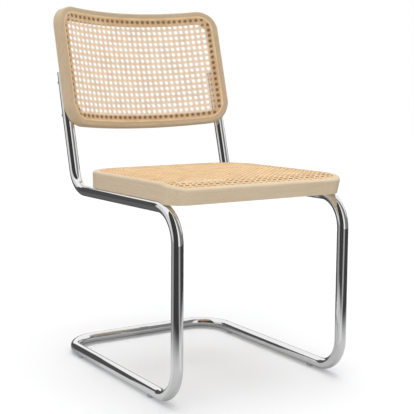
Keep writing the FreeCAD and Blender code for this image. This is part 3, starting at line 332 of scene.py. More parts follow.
@dataclass(frozen=True)
class SatinBeech:
    """Steam-bent beech under satin lacquer: pale, close-grained, with short dark flecks."""

    name: str
    side_rails: RailAxis
    rail_starts_mm: float
    face: ShownFace
    light: str
    dark: str
    fleck: str = "#B59D7E"
    # Painted shade: the rebate's floor is painted dark brown for the shade that falls on it under
    # the cane and shows between the strands.
    rebate: str = "#93714A"
    # Beech grain is 0.3 to 1 mm wide; it is drawn about 2.5 mm wide so that it shows.
    grain_mm: Size = (120.0, 2.6)
    grain_detail: float = 4.0
    grain_height_mm: float = 0.08
    grain_relief: float = 0.25
    # The flecks are 2 to 4 mm long and 0.3 mm wide; they are drawn twice that so that they show.
    fleck_mm: Size = (7.0, 0.8)
    fleck_detail: float = 1.0
    # A fleck comes up between these strengths of its noise, and takes this share of the colour.
    fleck_rise: Span = (0.60, 0.74)
    fleck_share: float = 0.45
    # The grain turns over this distance to either side of where two rails meet.
    turn_mm: float = 12.0
    # The dark late wood polishes up a little smoother than the rest.
    roughness: Span = (0.34, 0.48)
    coat: float = 0.2
    coat_roughness: float = 0.28
    ior: float = 1.5

    def grain(self, tree: bpy.types.NodeTree, size: Size, detail: float) -> bpy.types.NodeSocket:
        """Adds grain that runs across the front and rear rails and along the side rails.

        Args:
            tree: The node tree that gets the grain.
            size: The grain's length and width in millimetres.
            detail: How many finer octaves it has.

        Returns:
            The socket of the grain's strength.
        """
        long, fine = size
        across = stretched(tree, (long, fine, fine), detail)
        sizes = [fine, fine, fine]
        sizes[self.side_rails.value] = long
        along = stretched(tree, sizes, detail)
        where = add_node(tree, "ShaderNodeTexCoord")
        split = add_node(tree, "ShaderNodeSeparateXYZ", {}, {"Vector": where.outputs["Object"]})
        side = add_node(tree, "ShaderNodeMath", {"operation": "ABSOLUTE"}, {0: split.outputs["X"]})
        share = add_node(tree, "ShaderNodeMapRange",
                         {"From Min": (self.rail_starts_mm - self.turn_mm) * MM,
                          "From Max": (self.rail_starts_mm + self.turn_mm) * MM},
                         {"Value": side.outputs["Value"]})
        mixed = add_node(tree, "ShaderNodeMix", {"data_type": "FLOAT"},
                         {MIX_FACTOR: share.outputs["Result"], MIX_FLOAT_A: across,
                          MIX_FLOAT_B: along})
        return mixed.outputs[MIX_FLOAT_OUT]

    def make(self) -> bpy.types.Material:
        """Makes the material: slow bands of grain, short flecks, painted shade on the rebate's
        floor, and a satin coat.

        Returns:
            The material.
        """
        material, tree = new_material(self.name)
        bands = self.grain(tree, self.grain_mm, self.grain_detail)
        flecks = self.grain(tree, self.fleck_mm, self.fleck_detail)
        ground = two_colours(tree, bands, self.dark, self.light)
        spots = add_node(tree, "ShaderNodeMapRange",
                         {"From Min": self.fleck_rise[0], "From Max": self.fleck_rise[1],
                          "To Max": self.fleck_share}, {"Value": flecks})
        colour = add_node(tree, "ShaderNodeMix",
                          {"data_type": "RGBA", MIX_COLOUR_B: linear(self.fleck)},
                          {MIX_FACTOR: spots.outputs["Result"], MIX_COLOUR_A: ground})
        # Painted shade: the floor of the rebate under the cane is painted in the dark brown.
        shaded = add_node(tree, "ShaderNodeMix",
                          {"data_type": "RGBA", MIX_COLOUR_B: linear(self.rebate)},
                          {MIX_FACTOR: self.face.rebate(tree),
                           MIX_COLOUR_A: colour.outputs[MIX_COLOUR_OUT]})
        bump = add_node(tree, "ShaderNodeBump",
                        {"Strength": self.grain_relief, "Distance": self.grain_height_mm * MM},
                        {"Height": bands})
        rough = add_node(tree, "ShaderNodeMapRange",
                         {"To Min": self.roughness[0], "To Max": self.roughness[1]},
                         {"Value": bands})
        surface = add_node(tree, "ShaderNodeBsdfPrincipled",
                           {"Coat Weight": self.coat, "Coat Roughness": self.coat_roughness,
                            "IOR": self.ior},
                           {"Base Color": shaded.outputs[MIX_COLOUR_OUT],
                            "Roughness": rough.outputs["Result"],
                            "Normal": bump.outputs["Normal"]})
        add_node(tree, "ShaderNodeOutputMaterial", {}, {"Surface": surface.outputs["BSDF"]})
        return material


@dataclass(frozen=True)
class NaturalCane:
    """Peeled rattan skin, split into strands: hard, waxy and unevenly straw-coloured."""

    name: str
    light: str
    dark: str
    # Painted shade and light: how much darker a strand is painted where others would shade it, and
    # how much lighter where it lies on top.
    shade: float = 0.0
    # Each stem has its own colour, and so the sheet has slow patches.
    patch_mm: float = 38.0
    # The fibres' streaks are under 1 mm wide; they are drawn 3 mm wide so that they show.
    streak_mm: float = 3.0
    streak_share: float = 0.5
    detail: float = 2.0
    # The strengths of patches and streaks at which the dark ends and the light begins.
    tones: Span = (0.38, 0.6)
    fibre_height_mm: float = 0.1
    fibre_relief: float = 0.3
    roughness: float = 0.45
    coat: float = 0.15
    coat_roughness: float = 0.35

    def make(self) -> bpy.types.Material:
        """Makes the material: patches and streaks of colour, with painted shade low in the weave
        and painted light on top.

        Returns:
            The material.
        """
        material, tree = new_material(self.name)
        patches = stretched(tree, (self.patch_mm,) * 3, self.detail)
        streaks = stretched(tree, (self.streak_mm,) * 3, self.detail)
        blend = add_node(tree, "ShaderNodeMix",
                         {"data_type": "FLOAT", MIX_FACTOR: self.streak_share},
                         {MIX_FLOAT_A: patches, MIX_FLOAT_B: streaks})
        colour = two_colours(tree, blend.outputs[MIX_FLOAT_OUT], self.dark, self.light,
                             self.tones)
        # Painted light and shade: the colour is scaled up on top of the weave, and down low in it
        # and on the strands' lower edges.
        depth = add_node(tree, "ShaderNodeAttribute", {"attribute_name": WEAVE_PAINTED_SHADE})
        tone = add_node(tree, "ShaderNodeMapRange",
                        {"From Min": -1.0, "To Min": 1 + self.shade, "To Max": 1 - self.shade},
                        {"Value": depth.outputs["Fac"]})
        shaded = add_node(tree, "ShaderNodeVectorMath", {"operation": "SCALE"},
                          {0: colour, "Scale": tone.outputs["Result"]})
        bump = add_node(tree, "ShaderNodeBump",
                        {"Strength": self.fibre_relief, "Distance": self.fibre_height_mm * MM},
                        {"Height": streaks})
        surface = add_node(tree, "ShaderNodeBsdfPrincipled",
                           {"Roughness": self.roughness, "Coat Weight": self.coat,
                            "Coat Roughness": self.coat_roughness},
                           {"Base Color": shaded.outputs["Vector"],
                            "Normal": bump.outputs["Normal"]})
        add_node(tree, "ShaderNodeOutputMaterial", {}, {"Surface": surface.outputs["BSDF"]})
        return material


@dataclass(frozen=True)
class PlainFinish:
    """A small part's finish: one ground colour, with speckle and roughness that vary a little."""

    name: str
    light: str
    dark: str
    metallic: float
    roughness: float
    # Real specks are 0.1 to 0.3 mm wide; they are drawn a few times wider so that they show.
    speck_mm: float
    detail: float = 3.0
    speck_height_mm: float = 0.05
    relief: float = 0.2
    # The share by which the roughness goes up and down.
    roughness_swing: float = 0.2

    def make(self) -> bpy.types.Material:
        """Makes the material from fine noise in its colour, roughness and surface.

        Returns:
            The material.
        """
        material, tree = new_material(self.name)
        speck = stretched(tree, (self.speck_mm,) * 3, self.detail)
        colour = two_colours(tree, speck, self.dark, self.light)
        rough = add_node(tree, "ShaderNodeMapRange",
                         {"To Min": self.roughness * (1 - self.roughness_swing),
                          "To Max": self.roughness * (1 + self.roughness_swing)},
                         {"Value": speck})
        bump = add_node(tree, "ShaderNodeBump",
                        {"Strength": self.relief, "Distance": self.speck_height_mm * MM},
                        {"Height": speck})
        surface = add_node(tree, "ShaderNodeBsdfPrincipled", {"Metallic": self.metallic},
                           {"Base Color": colour, "Roughness": rough.outputs["Result"],
                            "Normal": bump.outputs["Normal"]})
        add_node(tree, "ShaderNodeOutputMaterial", {}, {"Surface": surface.outputs["BSDF"]})
        return material


# Polypropylene, moulded: dull black with a fine moulded grain.
BLACK_POLYPROPYLENE = PlainFinish("polypropylene, moulded black", "#1C1C1C", "#101010",
                                  metallic=0.0, roughness=0.5, speck_mm=0.6)
# Nylon, moulded: a pale grey that hardly shows against the floor.
GREY_NYLON = PlainFinish("nylon, moulded grey", "#BDBEC0", "#ADAEB0",
                         metallic=0.0, roughness=0.45, speck_mm=0.6)
# Zinc plate on steel screws: a bluish grey that is brighter on the worn faces.
ZINC_PLATED_STEEL = PlainFinish("steel, zinc-plated", "#B9BCC0", "#9A9DA1",
                                metallic=1.0, roughness=0.28, speck_mm=1.2)
# Turned brass of the inserts, dull in the bore.
TURNED_BRASS = PlainFinish("brass, turned", "#C9A24E", "#A9843A",
                           metallic=1.0, roughness=0.32, speck_mm=0.8)
# Drawn steel of the sleeves inside the joints: bare, dull and grey.
DRAWN_STEEL = PlainFinish("steel, cold-drawn", "#8C8E90", "#6F7173",
                          metallic=1.0, roughness=0.4, speck_mm=1.5)


@dataclass
class CaneWeave:
    """A patch of open octagonal cane: pairs of strands both ways, and single diagonals.

    The patch is flat in u and v, in millimetres, and the surface function bends it.
    """

    surface: Surface
    inside: Inside
    centre: FlatPoint
    hole_centre: FlatPoint
    half_span: float
    pitch: float = 14.53
    pair_offset: float = 1.45
    strand_width: float = 1.6
    diagonal_width: float = 1.55
    thickness: float = 0.5
    # How far a pair's strands rise or dip at a crossing, as a share of their thickness.
    pair_rise: float = 0.56
    # How wide a strand's upper side is, as a share of its lower one.
    crown: float = 0.78
    middle_depth: float = 0.82
    steps_per_pitch: int = 4
    # How often the search for a strand's end halves its step.
    halvings: int = 14
    # Painted shade in the weave, and painted light under 0: of the pairs, of the diagonals for
    # their height, and of the lower edges.
    pair_painted_shade: float = -0.4
    diagonal_painted_shade: float = 1.4
    flank_painted_shade: float = 0.8
    points: List[np.ndarray] = field(default_factory=list)
    faces: List[np.ndarray] = field(default_factory=list)
    # The painted shade of each strand's points, for the weave's attribute.
    depths: List[np.ndarray] = field(default_factory=list)
    count: int = 0

    def wave(self, place: np.ndarray, origin: float) -> np.ndarray:
        """1 halfway between two holes and -1 at a hole's centre, along one axis."""
        return -np.cos(2 * math.pi * (place - origin) / self.pitch)

    def over_and_under(self, u: np.ndarray, v: np.ndarray, way: FlatPoint) -> np.ndarray:
        """Works out how high a strand lies in the weave at each of its points.

        Args:
            u: The points' first coordinates.
            v: The points' second coordinates.
            way: The strand's direction.

        Returns:
            Heights in millimetres above the middle of the weave.
        """
        at_pair_u = self.wave(u, self.hole_centre[0])
        at_pair_v = self.wave(v, self.hole_centre[1])
        if way[0] == 0:
            return -self.thickness * self.pair_rise * (1 + at_pair_v) / 2
        if way[1] == 0:
            return self.thickness * self.pair_rise * (1 + at_pair_u) / 2
        sign = 1 if way[1] > 0 else -1
        return sign * self.thickness * at_pair_u

    def painted_shade_in_weave(self, height: np.ndarray, way: FlatPoint) -> np.ndarray:
        """Says how much shade is painted on a strand's corners, for where the other strands would
        shade them.

        Args:
            height: How high the strand lies at each of its points.
            way: The strand's direction.

        Returns:
            The painted shade at each point's corners, the two lower ones first.
        """
        if way[0] and way[1]:
            middle = -height / self.thickness * self.diagonal_painted_shade
        else:
            middle = np.full(len(height), self.pair_painted_shade)
        flanks = np.array([self.flank_painted_shade, self.flank_painted_shade, 0.0, 0.0])
        return (middle[:, None] + flanks).ravel()

    def reach(self, start: FlatPoint, way: FlatPoint, sign: int) -> float:
        """How far a strand runs from a point inside the patch to its edge.

        Args:
            start: A point inside.
            way: The strand's direction.
            sign: 1 to go forward, -1 to go back.

        Returns:
            The distance in millimetres.
        """
        near, far = 0.0, 2 * self.half_span
        for _ in range(self.halvings):
            half = (near + far) / 2
            if self.inside(start[0] + sign * half * way[0], start[1] + sign * half * way[1]):
                near = half
            else:
                far = half
        return near

    def add_strand(self, start: FlatPoint, way: FlatPoint, width: float) -> None:
        """Adds one strand through a point, from edge to edge of the patch.

        Args:
            start: A point that the strand's centre line passes.
            way: Its direction, of length 1.
            width: Its width in millimetres.
        """
        spots = np.arange(-2 * self.half_span, 2 * self.half_span, self.pitch / 2)
        within = [s for s in spots if self.inside(start[0] + s * way[0], start[1] + s * way[1])]
        if not within:
            return
        first = within[len(within) // 2]
        inner = (start[0] + first * way[0], start[1] + first * way[1])
        back, ahead = self.reach(inner, way, -1), self.reach(inner, way, 1)
        if back + ahead < 2 * width:
            return
        step = self.pitch / self.steps_per_pitch
        along = np.linspace(-back, ahead, max(2, int((back + ahead) / step) + 2))
        u, v = inner[0] + along * way[0], inner[1] + along * way[1]
        height = self.over_and_under(u, v, way)
        half, edge, crown = self.thickness / 2, width / 2, width / 2 * self.crown
        corners = ((-edge, -half), (edge, -half), (crown, half), (-crown, half))
        rows = [self.surface(u - way[1] * side, v + way[0] * side, self.middle_depth - height - up)
                for side, up in corners]
        self.points.append(np.stack(rows, axis=1).reshape(-1, 3))
        self.depths.append(self.painted_shade_in_weave(height, way))
        self.add_faces(len(along))

    def add_faces(self, sections: int) -> None:
        """Closes the strand whose points were added last, round its sides and at its ends.

        Args:
            sections: How many sections it has.
        """
        index = self.count + CORNERS * np.arange(sections - 1)
        for corner in range(CORNERS):
            after = (corner + 1) % CORNERS
            self.faces.append(np.stack([index + corner, index + after, index + CORNERS + after,
                                        index + CORNERS + corner], axis=1))
        ends = self.count + np.array([[3, 2, 1, 0], [0, 1, 2, 3]])
        ends[1] += CORNERS * (sections - 1)
        self.faces.append(ends)
        self.count += CORNERS * sections

    def build(self, name: str) -> bpy.types.Object:
        """Weaves the whole patch.

        Args:
            name: The piece's name.

        Returns:
            The woven sheet as one mesh object.
        """
        lines = int(2 * self.half_span / self.pitch) + 2
        hole_u, hole_v = self.hole_centre
        ahead = self.centre[1] - hole_v
        slope = 1 / math.sqrt(2)
        for number in range(-lines, lines + 1):
            pair = (number + 0.5) * self.pitch
            for side in (-self.pair_offset, self.pair_offset):
                lengthwise = (hole_u + pair + side, self.centre[1])
                crosswise = (self.centre[0], hole_v + pair + side)
                self.add_strand(lengthwise, (0.0, 1.0), self.strand_width)
                self.add_strand(crosswise, (1.0, 0.0), self.strand_width)
            for turn in (1, -1):
                # Both diagonals pass the middle of a hole's side, so they cut its corners.
                start = (hole_u + pair + turn * ahead, hole_v + ahead)
                self.add_strand(start, (slope, turn * slope), self.diagonal_width)
        woven = add_mesh(name, np.concatenate(self.points).tolist(),
                         np.concatenate(self.faces).tolist())
        woven.data.validate()
        # The painted light and shade go on the mesh as a point attribute.
        layer = woven.data.attributes.new(WEAVE_PAINTED_SHADE, "FLOAT", "POINT")
        layer.data.foreach_set("value", np.concatenate(self.depths))
        LOG.info("%s: %d faces", name, len(woven.data.polygons))
        return woven


def turned_back(y: np.ndarray, z: np.ndarray, degrees: float) -> Tuple[np.ndarray, np.ndarray]:
    """Leans points back about the X axis.

    Args:
        y: How far back they lie.
        z: How high they lie.
        degrees: The lean.

    Returns:
        The new y and z.
    """
    lean = math.radians(degrees)
    return y * math.cos(lean) + z * math.sin(lean), z * math.cos(lean) - y * math.sin(lean)


@dataclass
class TubeFrame:
    """The bent tube, its joints, plugs, glides and tabs."""

    tube_radius: float = 12.5
    tubes: Tuple[str, ...] = ("base_frame_tube", "left_back_tube", "right_back_tube")
    sleeves: Tuple[str, ...] = ("left_joint_sleeve", "right_joint_sleeve")
    plugs: Tuple[str, ...] = ("left_tube_end_cap", "right_tube_end_cap")

    @property
    def middle(self) -> float:
        """How far the front leg's axis lies ahead of the origin, in millimetres."""
        return -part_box("base_frame_tube")[0][1] / MM - self.tube_radius

    def dress_all(self) -> None:
        """Gives the steel and plastic pieces their finishes."""
        ends = [f"{end}_{side}" for end in ("front", "rear") for side in ("left", "right")]
        chrome = ChromedSteel().make()
        dress(self.tubes, chrome)
        dress([f"seat_bracket_{end}" for end in ends], chrome)
        dress(self.sleeves, DRAWN_STEEL.make())
        dress(self.plugs, BLACK_POLYPROPYLENE.make())
        dress([f"glide_{end}" for end in ends], GREY_NYLON.make())


@dataclass
class Seat:
    """The seat: a flat beech frame with a falling front, and its cane.

    Its sizes are in millimetres, and its angle in degrees. Lengths along it start at the
    front leg's axis, and heights at the tube's.
    """

    middle: float
    tube_height: float = 409.4
    slope: float = 0.9
    bend_radius: float = 70.0
    top: float = 49.0
    waterfall: float = 250.0
    front: float = -5.0
    depth: float = 439.0
    front_width: float = 444.0
    rear_width: float = 440.0
    edge: float = 16.4
    front_corner: float = 42.0
    rear_corner: float = 95.0
    side_rail: float = 38.0
    # The weave is laid out this far to every side, as a share of the depth, and then cut.
    weave_reach: float = 0.75
    # The seat's cane is painted lighter on top of its weave and darker low in it; the back's gets
    # no painted shade.
    cane_finish: NaturalCane = NaturalCane("rattan cane, woven, seat", "#F9D9AC", "#E6C18F",
                                           shade=0.4)

    @property
    def bend_start(self) -> float:
        """Where the flat of the seat ends and its falling front begins."""
        return self.bend_radius / math.tan(math.radians(90 - self.slope) / 2)

    def half_width(self, along: float) -> float:
        """Half the seat's width at a distance behind the front leg's axis."""
        share = (along - self.front) / self.depth
        return (self.front_width + (self.rear_width - self.front_width) * share) / 2

    def inside(self, u: float, v: float) -> bool:
        """Says whether a point lies on the cane, inside the spline.

        Args:
            u: Its distance from the middle.
            v: Its distance behind the front leg's axis.

        Returns:
            True inside.
        """
        front, rear = self.front + self.edge, self.front + self.depth - self.edge
        side = self.half_width(v) - self.edge
        if not front <= v <= rear or abs(u) > side:
            return False
        radius = (self.front_corner if v < self.depth / 2 else self.rear_corner) - self.edge
        ahead = radius - min(v - front, rear - v)
        beside = radius - (side - abs(u))
        return ahead <= 0 or beside <= 0 or math.hypot(ahead, beside) <= radius

    def surface(self, u: np.ndarray, v: np.ndarray, depth: np.ndarray) -> np.ndarray:
        """Lays flat points on the seat's upper face.

        Args:
            u: Distances from the middle, in millimetres.
            v: Distances behind the front leg's axis.
            depth: Depths under the face.

        Returns:
            Points in metres in the frame's own axes.
        """
        ahead = np.maximum(0.0, self.bend_start - v)
        z = self.top - self.waterfall + np.sqrt(self.waterfall ** 2 - ahead ** 2) - depth
        y, z = turned_back(v, z, self.slope)
        return np.stack([u, y - self.middle, z + self.tube_height], axis=1) * MM

    def build(self) -> None:
        """Weaves the cane and dresses the frame."""
        centre = (0.0, self.front + self.depth / 2)
        weave = CaneWeave(self.surface, self.inside, centre, centre,
                          self.depth * self.weave_reach)
        cane = weave.build("seat_woven_cane")
        straw = self.cane_finish.make()
        cane.data.materials.append(straw)
        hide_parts("seat_cane")
        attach(cane, "root")
        dress(["seat_spline"], straw)
        face = ShownFace(self.slope, foot_mm=(0.0, -self.middle, self.tube_height),
                         axis_mm=(0.0, self.bend_start, self.top - self.waterfall),
                         radius_mm=self.waterfall, facing=Facing.AWAY,
                         across=(0.0, 1.0, 1.0), flat_behind=True)
        beech = SatinBeech("beech, steam-bent and lacquered, seat", RailAxis.DEPTH,
                           self.rear_width / 2 - self.side_rail, face,
                           light="#DFCBAC", dark="#D6C1A1")
        dress(["seat_frame"], beech.make())


@dataclass
class Back:
    """The back: a beech frame curved round the sitter, and its cane.

    Its sizes are in millimetres, and its angle in degrees. Heights along its lean start at
    the foot, where the uprights' line begins.
    """

    middle: float
    recline: float = 15.9
    foot_y: float = 460.0
    foot_z: float = 402.2
    radius: float = 450.0
    thickness: float = 25.0
    tube_radius: float = 12.5
    saddle: float = 1.5
    half_spacing: float = 213.0
    width: float = 442.0
    bottom: float = 149.0
    height: float = 294.0
    corner: float = 54.0
    edge: float = 16.4
    rail: float = 28.0
    # The middle of one of the weave's holes, counted in the photograph.
    hole_centre: FlatPoint = (3.9, 405.0)
    # The weave is laid out this far to every side, as a share of half the arc, and then cut.
    weave_reach: float = 1.3
    cane_finish: NaturalCane = NaturalCane("rattan cane, woven, back", "#F8D9AE", "#E8C496")

    @property
    def axis_ahead(self) -> float:
        """How far ahead of the uprights the axis of the back's curve lies."""
        upright = self.radius + self.thickness + self.tube_radius - self.saddle
        return math.sqrt(upright ** 2 - self.half_spacing ** 2)

    @property
    def half_arc(self) -> float:
        """Half the back's width, measured round its curve."""
        return self.radius * math.asin(self.width / 2 / self.radius)

    def inside(self, u: float, v: float) -> bool:
        """Says whether a point lies on the cane, inside the spline.

        Args:
            u: Its distance from the middle, round the curve.
            v: Its height along the lean.

        Returns:
            True inside.
        """
        low, high = self.bottom + self.edge, self.bottom + self.height - self.edge
        side = self.half_arc - self.edge
        if not low <= v <= high or abs(u) > side:
            return False
        radius = self.corner - self.edge
        above = radius - min(v - low, high - v)
        beside = radius - (side - abs(u))
        return above <= 0 or beside <= 0 or math.hypot(above, beside) <= radius

    def surface(self, u: np.ndarray, v: np.ndarray, depth: np.ndarray) -> np.ndarray:
        """Lays flat points on the front of the back.

        Args:
            u: Distances from the middle, round the curve, in millimetres.
            v: Heights along the lean.
            depth: Depths behind the front.

        Returns:
            Points in metres in the frame's own axes.
        """
        turn = u / self.radius
        out = self.radius + depth
        y, z = turned_back(out * np.cos(turn) - self.axis_ahead, v, self.recline)
        return np.stack([out * np.sin(turn), y + self.foot_y - self.middle, z + self.foot_z],
                        axis=1) * MM

    def build(self) -> None:
        """Weaves the cane and dresses the frame."""
        centre = (0.0, self.bottom + self.height / 2)
        weave = CaneWeave(self.surface, self.inside, centre, self.hole_centre,
                          self.half_arc * self.weave_reach)
        cane = weave.build("back_woven_cane")
        straw = self.cane_finish.make()
        cane.data.materials.append(straw)
        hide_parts("back_cane")
        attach(cane, "root")
        dress(["back_spline"], straw)
        face = ShownFace(self.recline, foot_mm=(0.0, self.foot_y - self.middle, self.foot_z),
                         axis_mm=(0.0, -self.axis_ahead, 0.0), radius_mm=self.radius,
                         facing=Facing.TOWARD, across=(1.0, 1.0, 0.0), flat_behind=False)
        beech = SatinBeech("beech, steam-bent and lacquered, back", RailAxis.HEIGHT,
                           self.width / 2 - self.rail, face,
                           light="#D2BB9B", dark="#C6AD8B")
        dress(["back_frame"], beech.make())


@dataclass
class Fixings:
    """The screws and the inserts that they run in."""

    inserts: Tuple[str, ...] = ("seat_inserts", "back_inserts")

    def dress_all(self) -> None:
        """Gives the screws and inserts their finishes."""
        dress(["seat_screws"], ZINC_PLATED_STEEL.make())
        # These heads show on the uprights, so they are plated as the tube is.
        dress(["back_screws"], ChromedSteel("chrome-plated steel, turned").make())
        dress(self.inserts, TURNED_BRASS.make())


@dataclass(frozen=True)
class Screen:
    """A curved screen for the chrome to show, and the carpet between it and the chair.

    Its directions are degrees from +X, its height is in metres, and its wall and floor have
    a brightness where 1 is white. Some screens go on over the chair as a canopy.
    """

    name: str
    start: float
    end: float
    height: float
    wall: float
    floor: float
    canopy: bool = False


@dataclass(frozen=True)
class Lamp:
    """A far soft lamp, which lights the floor as evenly as the chair.

    Its light comes from a direction, it looks a number of degrees wide, and its level is
    the brightness that it gives a white sheet that faces it, where 1 is white.
    """

    name: str
    come_from: Point
    spread: float
    level: float


@dataclass
class Studio:
    """A white floor, soft lamps, screens for the chrome, and the camera."""

    # The camera's place is in metres and its angles are in radians.
    position: Point = (-1.2083, -1.9572, 0.6861)
    heading: float = 0.5713
    tilt: float = 0.114
    roll: float = 0.0075
    focal_pixels: float = 988.8
    frame_pixels: float = 414.0
    shift_y: float = -0.06
    sensor: float = 36.0
    # The white room lights the chair less than it shows.
    room_light: float = 0.55
    floor_colour: str = "#EBECEE"
    floor_shine: float = 0.125
    floor_half: float = 6.0
    # The screens stand on a circle of this radius, in cards of about this many degrees.
    room: float = 3.2
    card_degrees: float = 10.0
    # The carpets lie this far over the floor.
    lift: float = 0.001
    # The radii between which the carpets come up round the pool of light, and its middle.
    pool: Span = (0.34, 0.68)
    pool_y: float = -0.29
    # How much of a carpet shows in the pool, and the pool's depth as a share of its width.
    pool_shade: float = 0.4
    pool_depth: float = 0.7
    # The radius and height of the canopy's inner edge.
    canopy_edge: Tuple[float, float] = (0.7, 4.8)
    # Two pale strips, ahead and to the left, stand between dark screens.
    screens: Tuple[Screen, ...] = (
        Screen("screen_ahead", -104.0, -76.0, 2.4, 1.0, 0.42),
        Screen("screen_front_right", -76.0, -20.0, 2.2, 0.22, 0.055, True),
        Screen("screen_right", -20.0, 40.0, 0.9, 0.22, 0.055),
        Screen("screen_behind", 40.0, 92.0, 0.5, 0.08, 0.055),
        Screen("screen_rear_left", 92.0, 125.0, 1.75, 0.08, 0.12),
        Screen("screen_left", 125.0, 170.0, 2.0, 0.75, 0.36),
        Screen("screen_front_left", 170.0, 256.0, 2.4, 0.05, 0.05, True),
    )
    lamps: Tuple[Lamp, ...] = (
        Lamp("key_lamp", (-0.55, -0.6, 0.9), 60.0, 0.2),
        Lamp("top_lamp", (0.12, 0.08, 1.0), 45.0, 0.42),
    )

    def looked_at(self, tree: bpy.types.NodeTree) -> bpy.types.NodeSocket:
        """Tells the rays that show a surface from those that only light something.

        Args:
            tree: The node tree that gets the nodes.

        Returns:
            A socket that is 1 for camera, glossy and transmission rays.
        """
        rays = add_node(tree, "ShaderNodeLightPath")
        seen = add_node(tree, "ShaderNodeMath", {"operation": "MAXIMUM"},
                        {0: rays.outputs["Is Camera Ray"], 1: rays.outputs["Is Glossy Ray"]})
        through = add_node(tree, "ShaderNodeMath", {"operation": "MAXIMUM"},
                           {0: seen.outputs["Value"], 1: rays.outputs["Is Transmission Ray"]})
        return through.outputs["Value"]

    def card(self, name: str, corners: List[Point],
             material: bpy.types.Material) -> bpy.types.Object:
        """Adds a flat stage piece.

        Args:
            name: Its name.
            corners: Its corners in metres, in order.
            material: What it is made of.

        Returns:
            The new object.
        """
        piece = add_mesh(name, corners, [tuple(range(len(corners)))])
        piece.data.materials.append(material)
        return piece

    def floor(self) -> None:
        """Lays the floor: white to the eye, and darker only where the chair shades it."""
        material, tree = new_material("paper sweep, matt white")
        shine = add_node(tree, "ShaderNodeMath", {"operation": "MULTIPLY", 1: self.floor_shine},
                         {0: self.looked_at(tree)})
        paper = add_node(tree, "ShaderNodeBsdfDiffuse", {"Color": linear(self.floor_colour)})
        glow = add_node(tree, "ShaderNodeEmission", {"Color": WHITE},
                        {"Strength": shine.outputs["Value"]})
        both = add_node(tree, "ShaderNodeAddShader", {},
                        {0: paper.outputs["BSDF"], 1: glow.outputs["Emission"]})
        add_node(tree, "ShaderNodeOutputMaterial", {}, {"Surface": both.outputs["Shader"]})
        half = self.floor_half
        signs = ((-1, -1), (1, -1), (1, 1), (-1, 1))
        self.card("floor", [(x * half, y * half, 0.0) for x, y in signs], material)

    def glow(self, name: str, level: float, fades: bool = False) -> bpy.types.Material:
        """Makes a material that shines evenly and a little.

        Args:
            name: The material's name.
            level: How bright it is; 1 is white.
            fades: Whether it fades toward the pool of light under the chair.

        Returns:
            The material.
        """
        material, tree = new_material(name)
        shine = add_node(tree, "ShaderNodeEmission", {"Color": WHITE, "Strength": level})
        shown = shine.outputs["Emission"]
        if fades:
            where = add_node(tree, "ShaderNodeTexCoord")
            # The pool is wider than deep, as the two legs stand side by side in it.
            moved = add_node(tree, "ShaderNodeMapping",
                             {"Location": (0.0, -self.pool_y, 0.0),
                              "Scale": (self.pool_depth, 1.0, 1.0)},
                             {"Vector": where.outputs["Object"]})
            away = add_node(tree, "ShaderNodeVectorMath", {"operation": "LENGTH"},
                            {0: moved.outputs["Vector"]})
            share = add_node(tree, "ShaderNodeMapRange",
                             {"From Min": self.pool[0], "From Max": self.pool[1],
                              "To Min": self.pool_shade, "interpolation_type": "SMOOTHSTEP"},
                             {"Value": away.outputs["Value"]})
            clear = add_node(tree, "ShaderNodeBsdfTransparent")
            both = add_node(tree, "ShaderNodeMixShader", {},
                            {0: share.outputs["Result"], 1: clear.outputs["BSDF"], 2: shown})
            shown = both.outputs["Shader"]
        add_node(tree, "ShaderNodeOutputMaterial", {}, {"Surface": shown})
        return material

    def reflected_only(self, card: bpy.types.Object) -> None:
        """Leaves a card to the chair's reflections, unseen by the camera and by other light.

        Args:
            card: The card.
        """
        card.visible_camera = False
        card.visible_diffuse = False
        card.visible_shadow = False

    def ring(self, turns: Sequence[float], radius: float, height: float) -> List[Point]:
        """Places points on a level circle round the middle of the pool of light.

        Args:
            turns: The points' directions, in degrees from +X.
            radius: The circle's radius in metres.
            height: How high it lies.

        Returns:
            The points.
        """
        return [(radius * math.cos(math.radians(turn)),
                 self.pool_y + radius * math.sin(math.radians(turn)), height) for turn in turns]

    def stand(self, screen: Screen) -> None:
        """Stands a curved screen round the chair, on a carpet of its own sector.

        Args:
            screen: The screen.
        """
        count = 2 + int((screen.end - screen.start) / self.card_degrees)
        turns = list(np.linspace(screen.start, screen.end, count))
        edges = [self.ring(turns, self.room, height) for height in (0.0, screen.height)]
        if screen.canopy:
            edges.append(self.ring(turns, *self.canopy_edge))
        wall = self.glow(f"{screen.name}, cloth", screen.wall)
        for tier, (foot, head) in enumerate(zip(edges[:-1], edges[1:])):
            for number in range(count - 1):
                corners = [foot[number], foot[number + 1], head[number + 1], head[number]]
                self.reflected_only(self.card(f"{screen.name}_{tier}_{number}", corners, wall))
        carpet = self.glow(f"{screen.name}, carpet", screen.floor, fades=True)
        corners = [(0.0, self.pool_y, self.lift), *self.ring(turns, self.room, self.lift)]
        self.reflected_only(self.card(f"{screen.name}_carpet", corners, carpet))

    def light(self, lamp: Lamp) -> None:
        """Adds a lamp to the scene.

        Args:
            lamp: The lamp.
        """
        data = bpy.data.lights.new(lamp.name, "SUN")
        data.angle = math.radians(lamp.spread)
        data.energy = lamp.level * math.pi
        thing = bpy.data.objects.new(lamp.name, data)
        thing.rotation_mode = "QUATERNION"
        thing.rotation_quaternion = (-Vector(lamp.come_from)).to_track_quat("-Z", "Y")
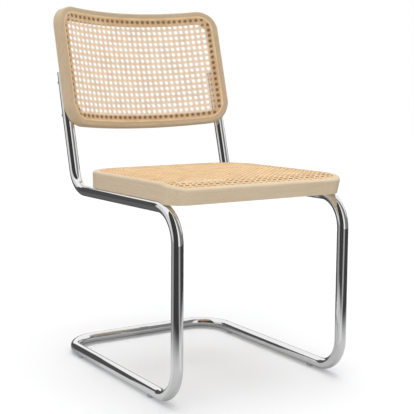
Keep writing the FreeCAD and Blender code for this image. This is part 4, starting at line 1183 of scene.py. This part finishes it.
        # The chrome shows the screens and the white room, not the lamps' discs.
        thing.visible_glossy = False
        bpy.context.scene.collection.objects.link(thing)

    def world(self) -> None:
        """Makes the room an even white."""
        world = bpy.data.worlds.new("white room")
        bpy.context.scene.world = world
        world.use_nodes = True
        tree = world.node_tree
        tree.nodes.clear()
        strength = add_node(tree, "ShaderNodeMapRange", {"To Min": self.room_light, "To Max": 1.0},
                            {"Value": self.looked_at(tree)})
        white = add_node(tree, "ShaderNodeBackground", {"Color": WHITE},
                         {"Strength": strength.outputs["Result"]})
        add_node(tree, "ShaderNodeOutputWorld", {}, {"Surface": white.outputs["Background"]})

    def camera(self) -> None:
        """Sets the camera where the photograph was taken from."""
        data = bpy.data.cameras.new("camera")
        data.sensor_width = self.sensor
        data.lens = self.focal_pixels / self.frame_pixels * self.sensor
        data.shift_y = self.shift_y
        camera = bpy.data.objects.new("camera", data)
        ahead = Vector((math.sin(self.heading) * math.cos(self.tilt),
                        math.cos(self.heading) * math.cos(self.tilt), -math.sin(self.tilt)))
        level = Vector((math.cos(self.heading), -math.sin(self.heading), 0.0))
        upward = level.cross(ahead)
        across = level * math.cos(self.roll) + upward * math.sin(self.roll)
        upward = upward * math.cos(self.roll) - level * math.sin(self.roll)
        turn = Matrix((across, upward, -ahead)).transposed().to_4x4()
        camera.matrix_world = Matrix.Translation(Vector(self.position)) @ turn
        bpy.context.scene.collection.objects.link(camera)
        bpy.context.scene.camera = camera

    def build(self) -> None:
        """Sets up the whole studio."""
        self.floor()
        for screen in self.screens:
            self.stand(screen)
        for lamp in self.lamps:
            self.light(lamp)
        self.world()
        self.camera()
        bpy.context.scene.view_settings.view_transform = "Standard"
        LOG.info("studio: %d screens, %d lamps", len(self.screens), len(self.lamps))


def main() -> None:
    """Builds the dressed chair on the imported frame."""
    logging.basicConfig(level=logging.INFO)
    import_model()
    tubes = TubeFrame()
    tubes.dress_all()
    Seat(tubes.middle).build()
    Back(tubes.middle).build()
    Fixings().dress_all()
    Studio().build()


if __name__ == "__main__":
    main()
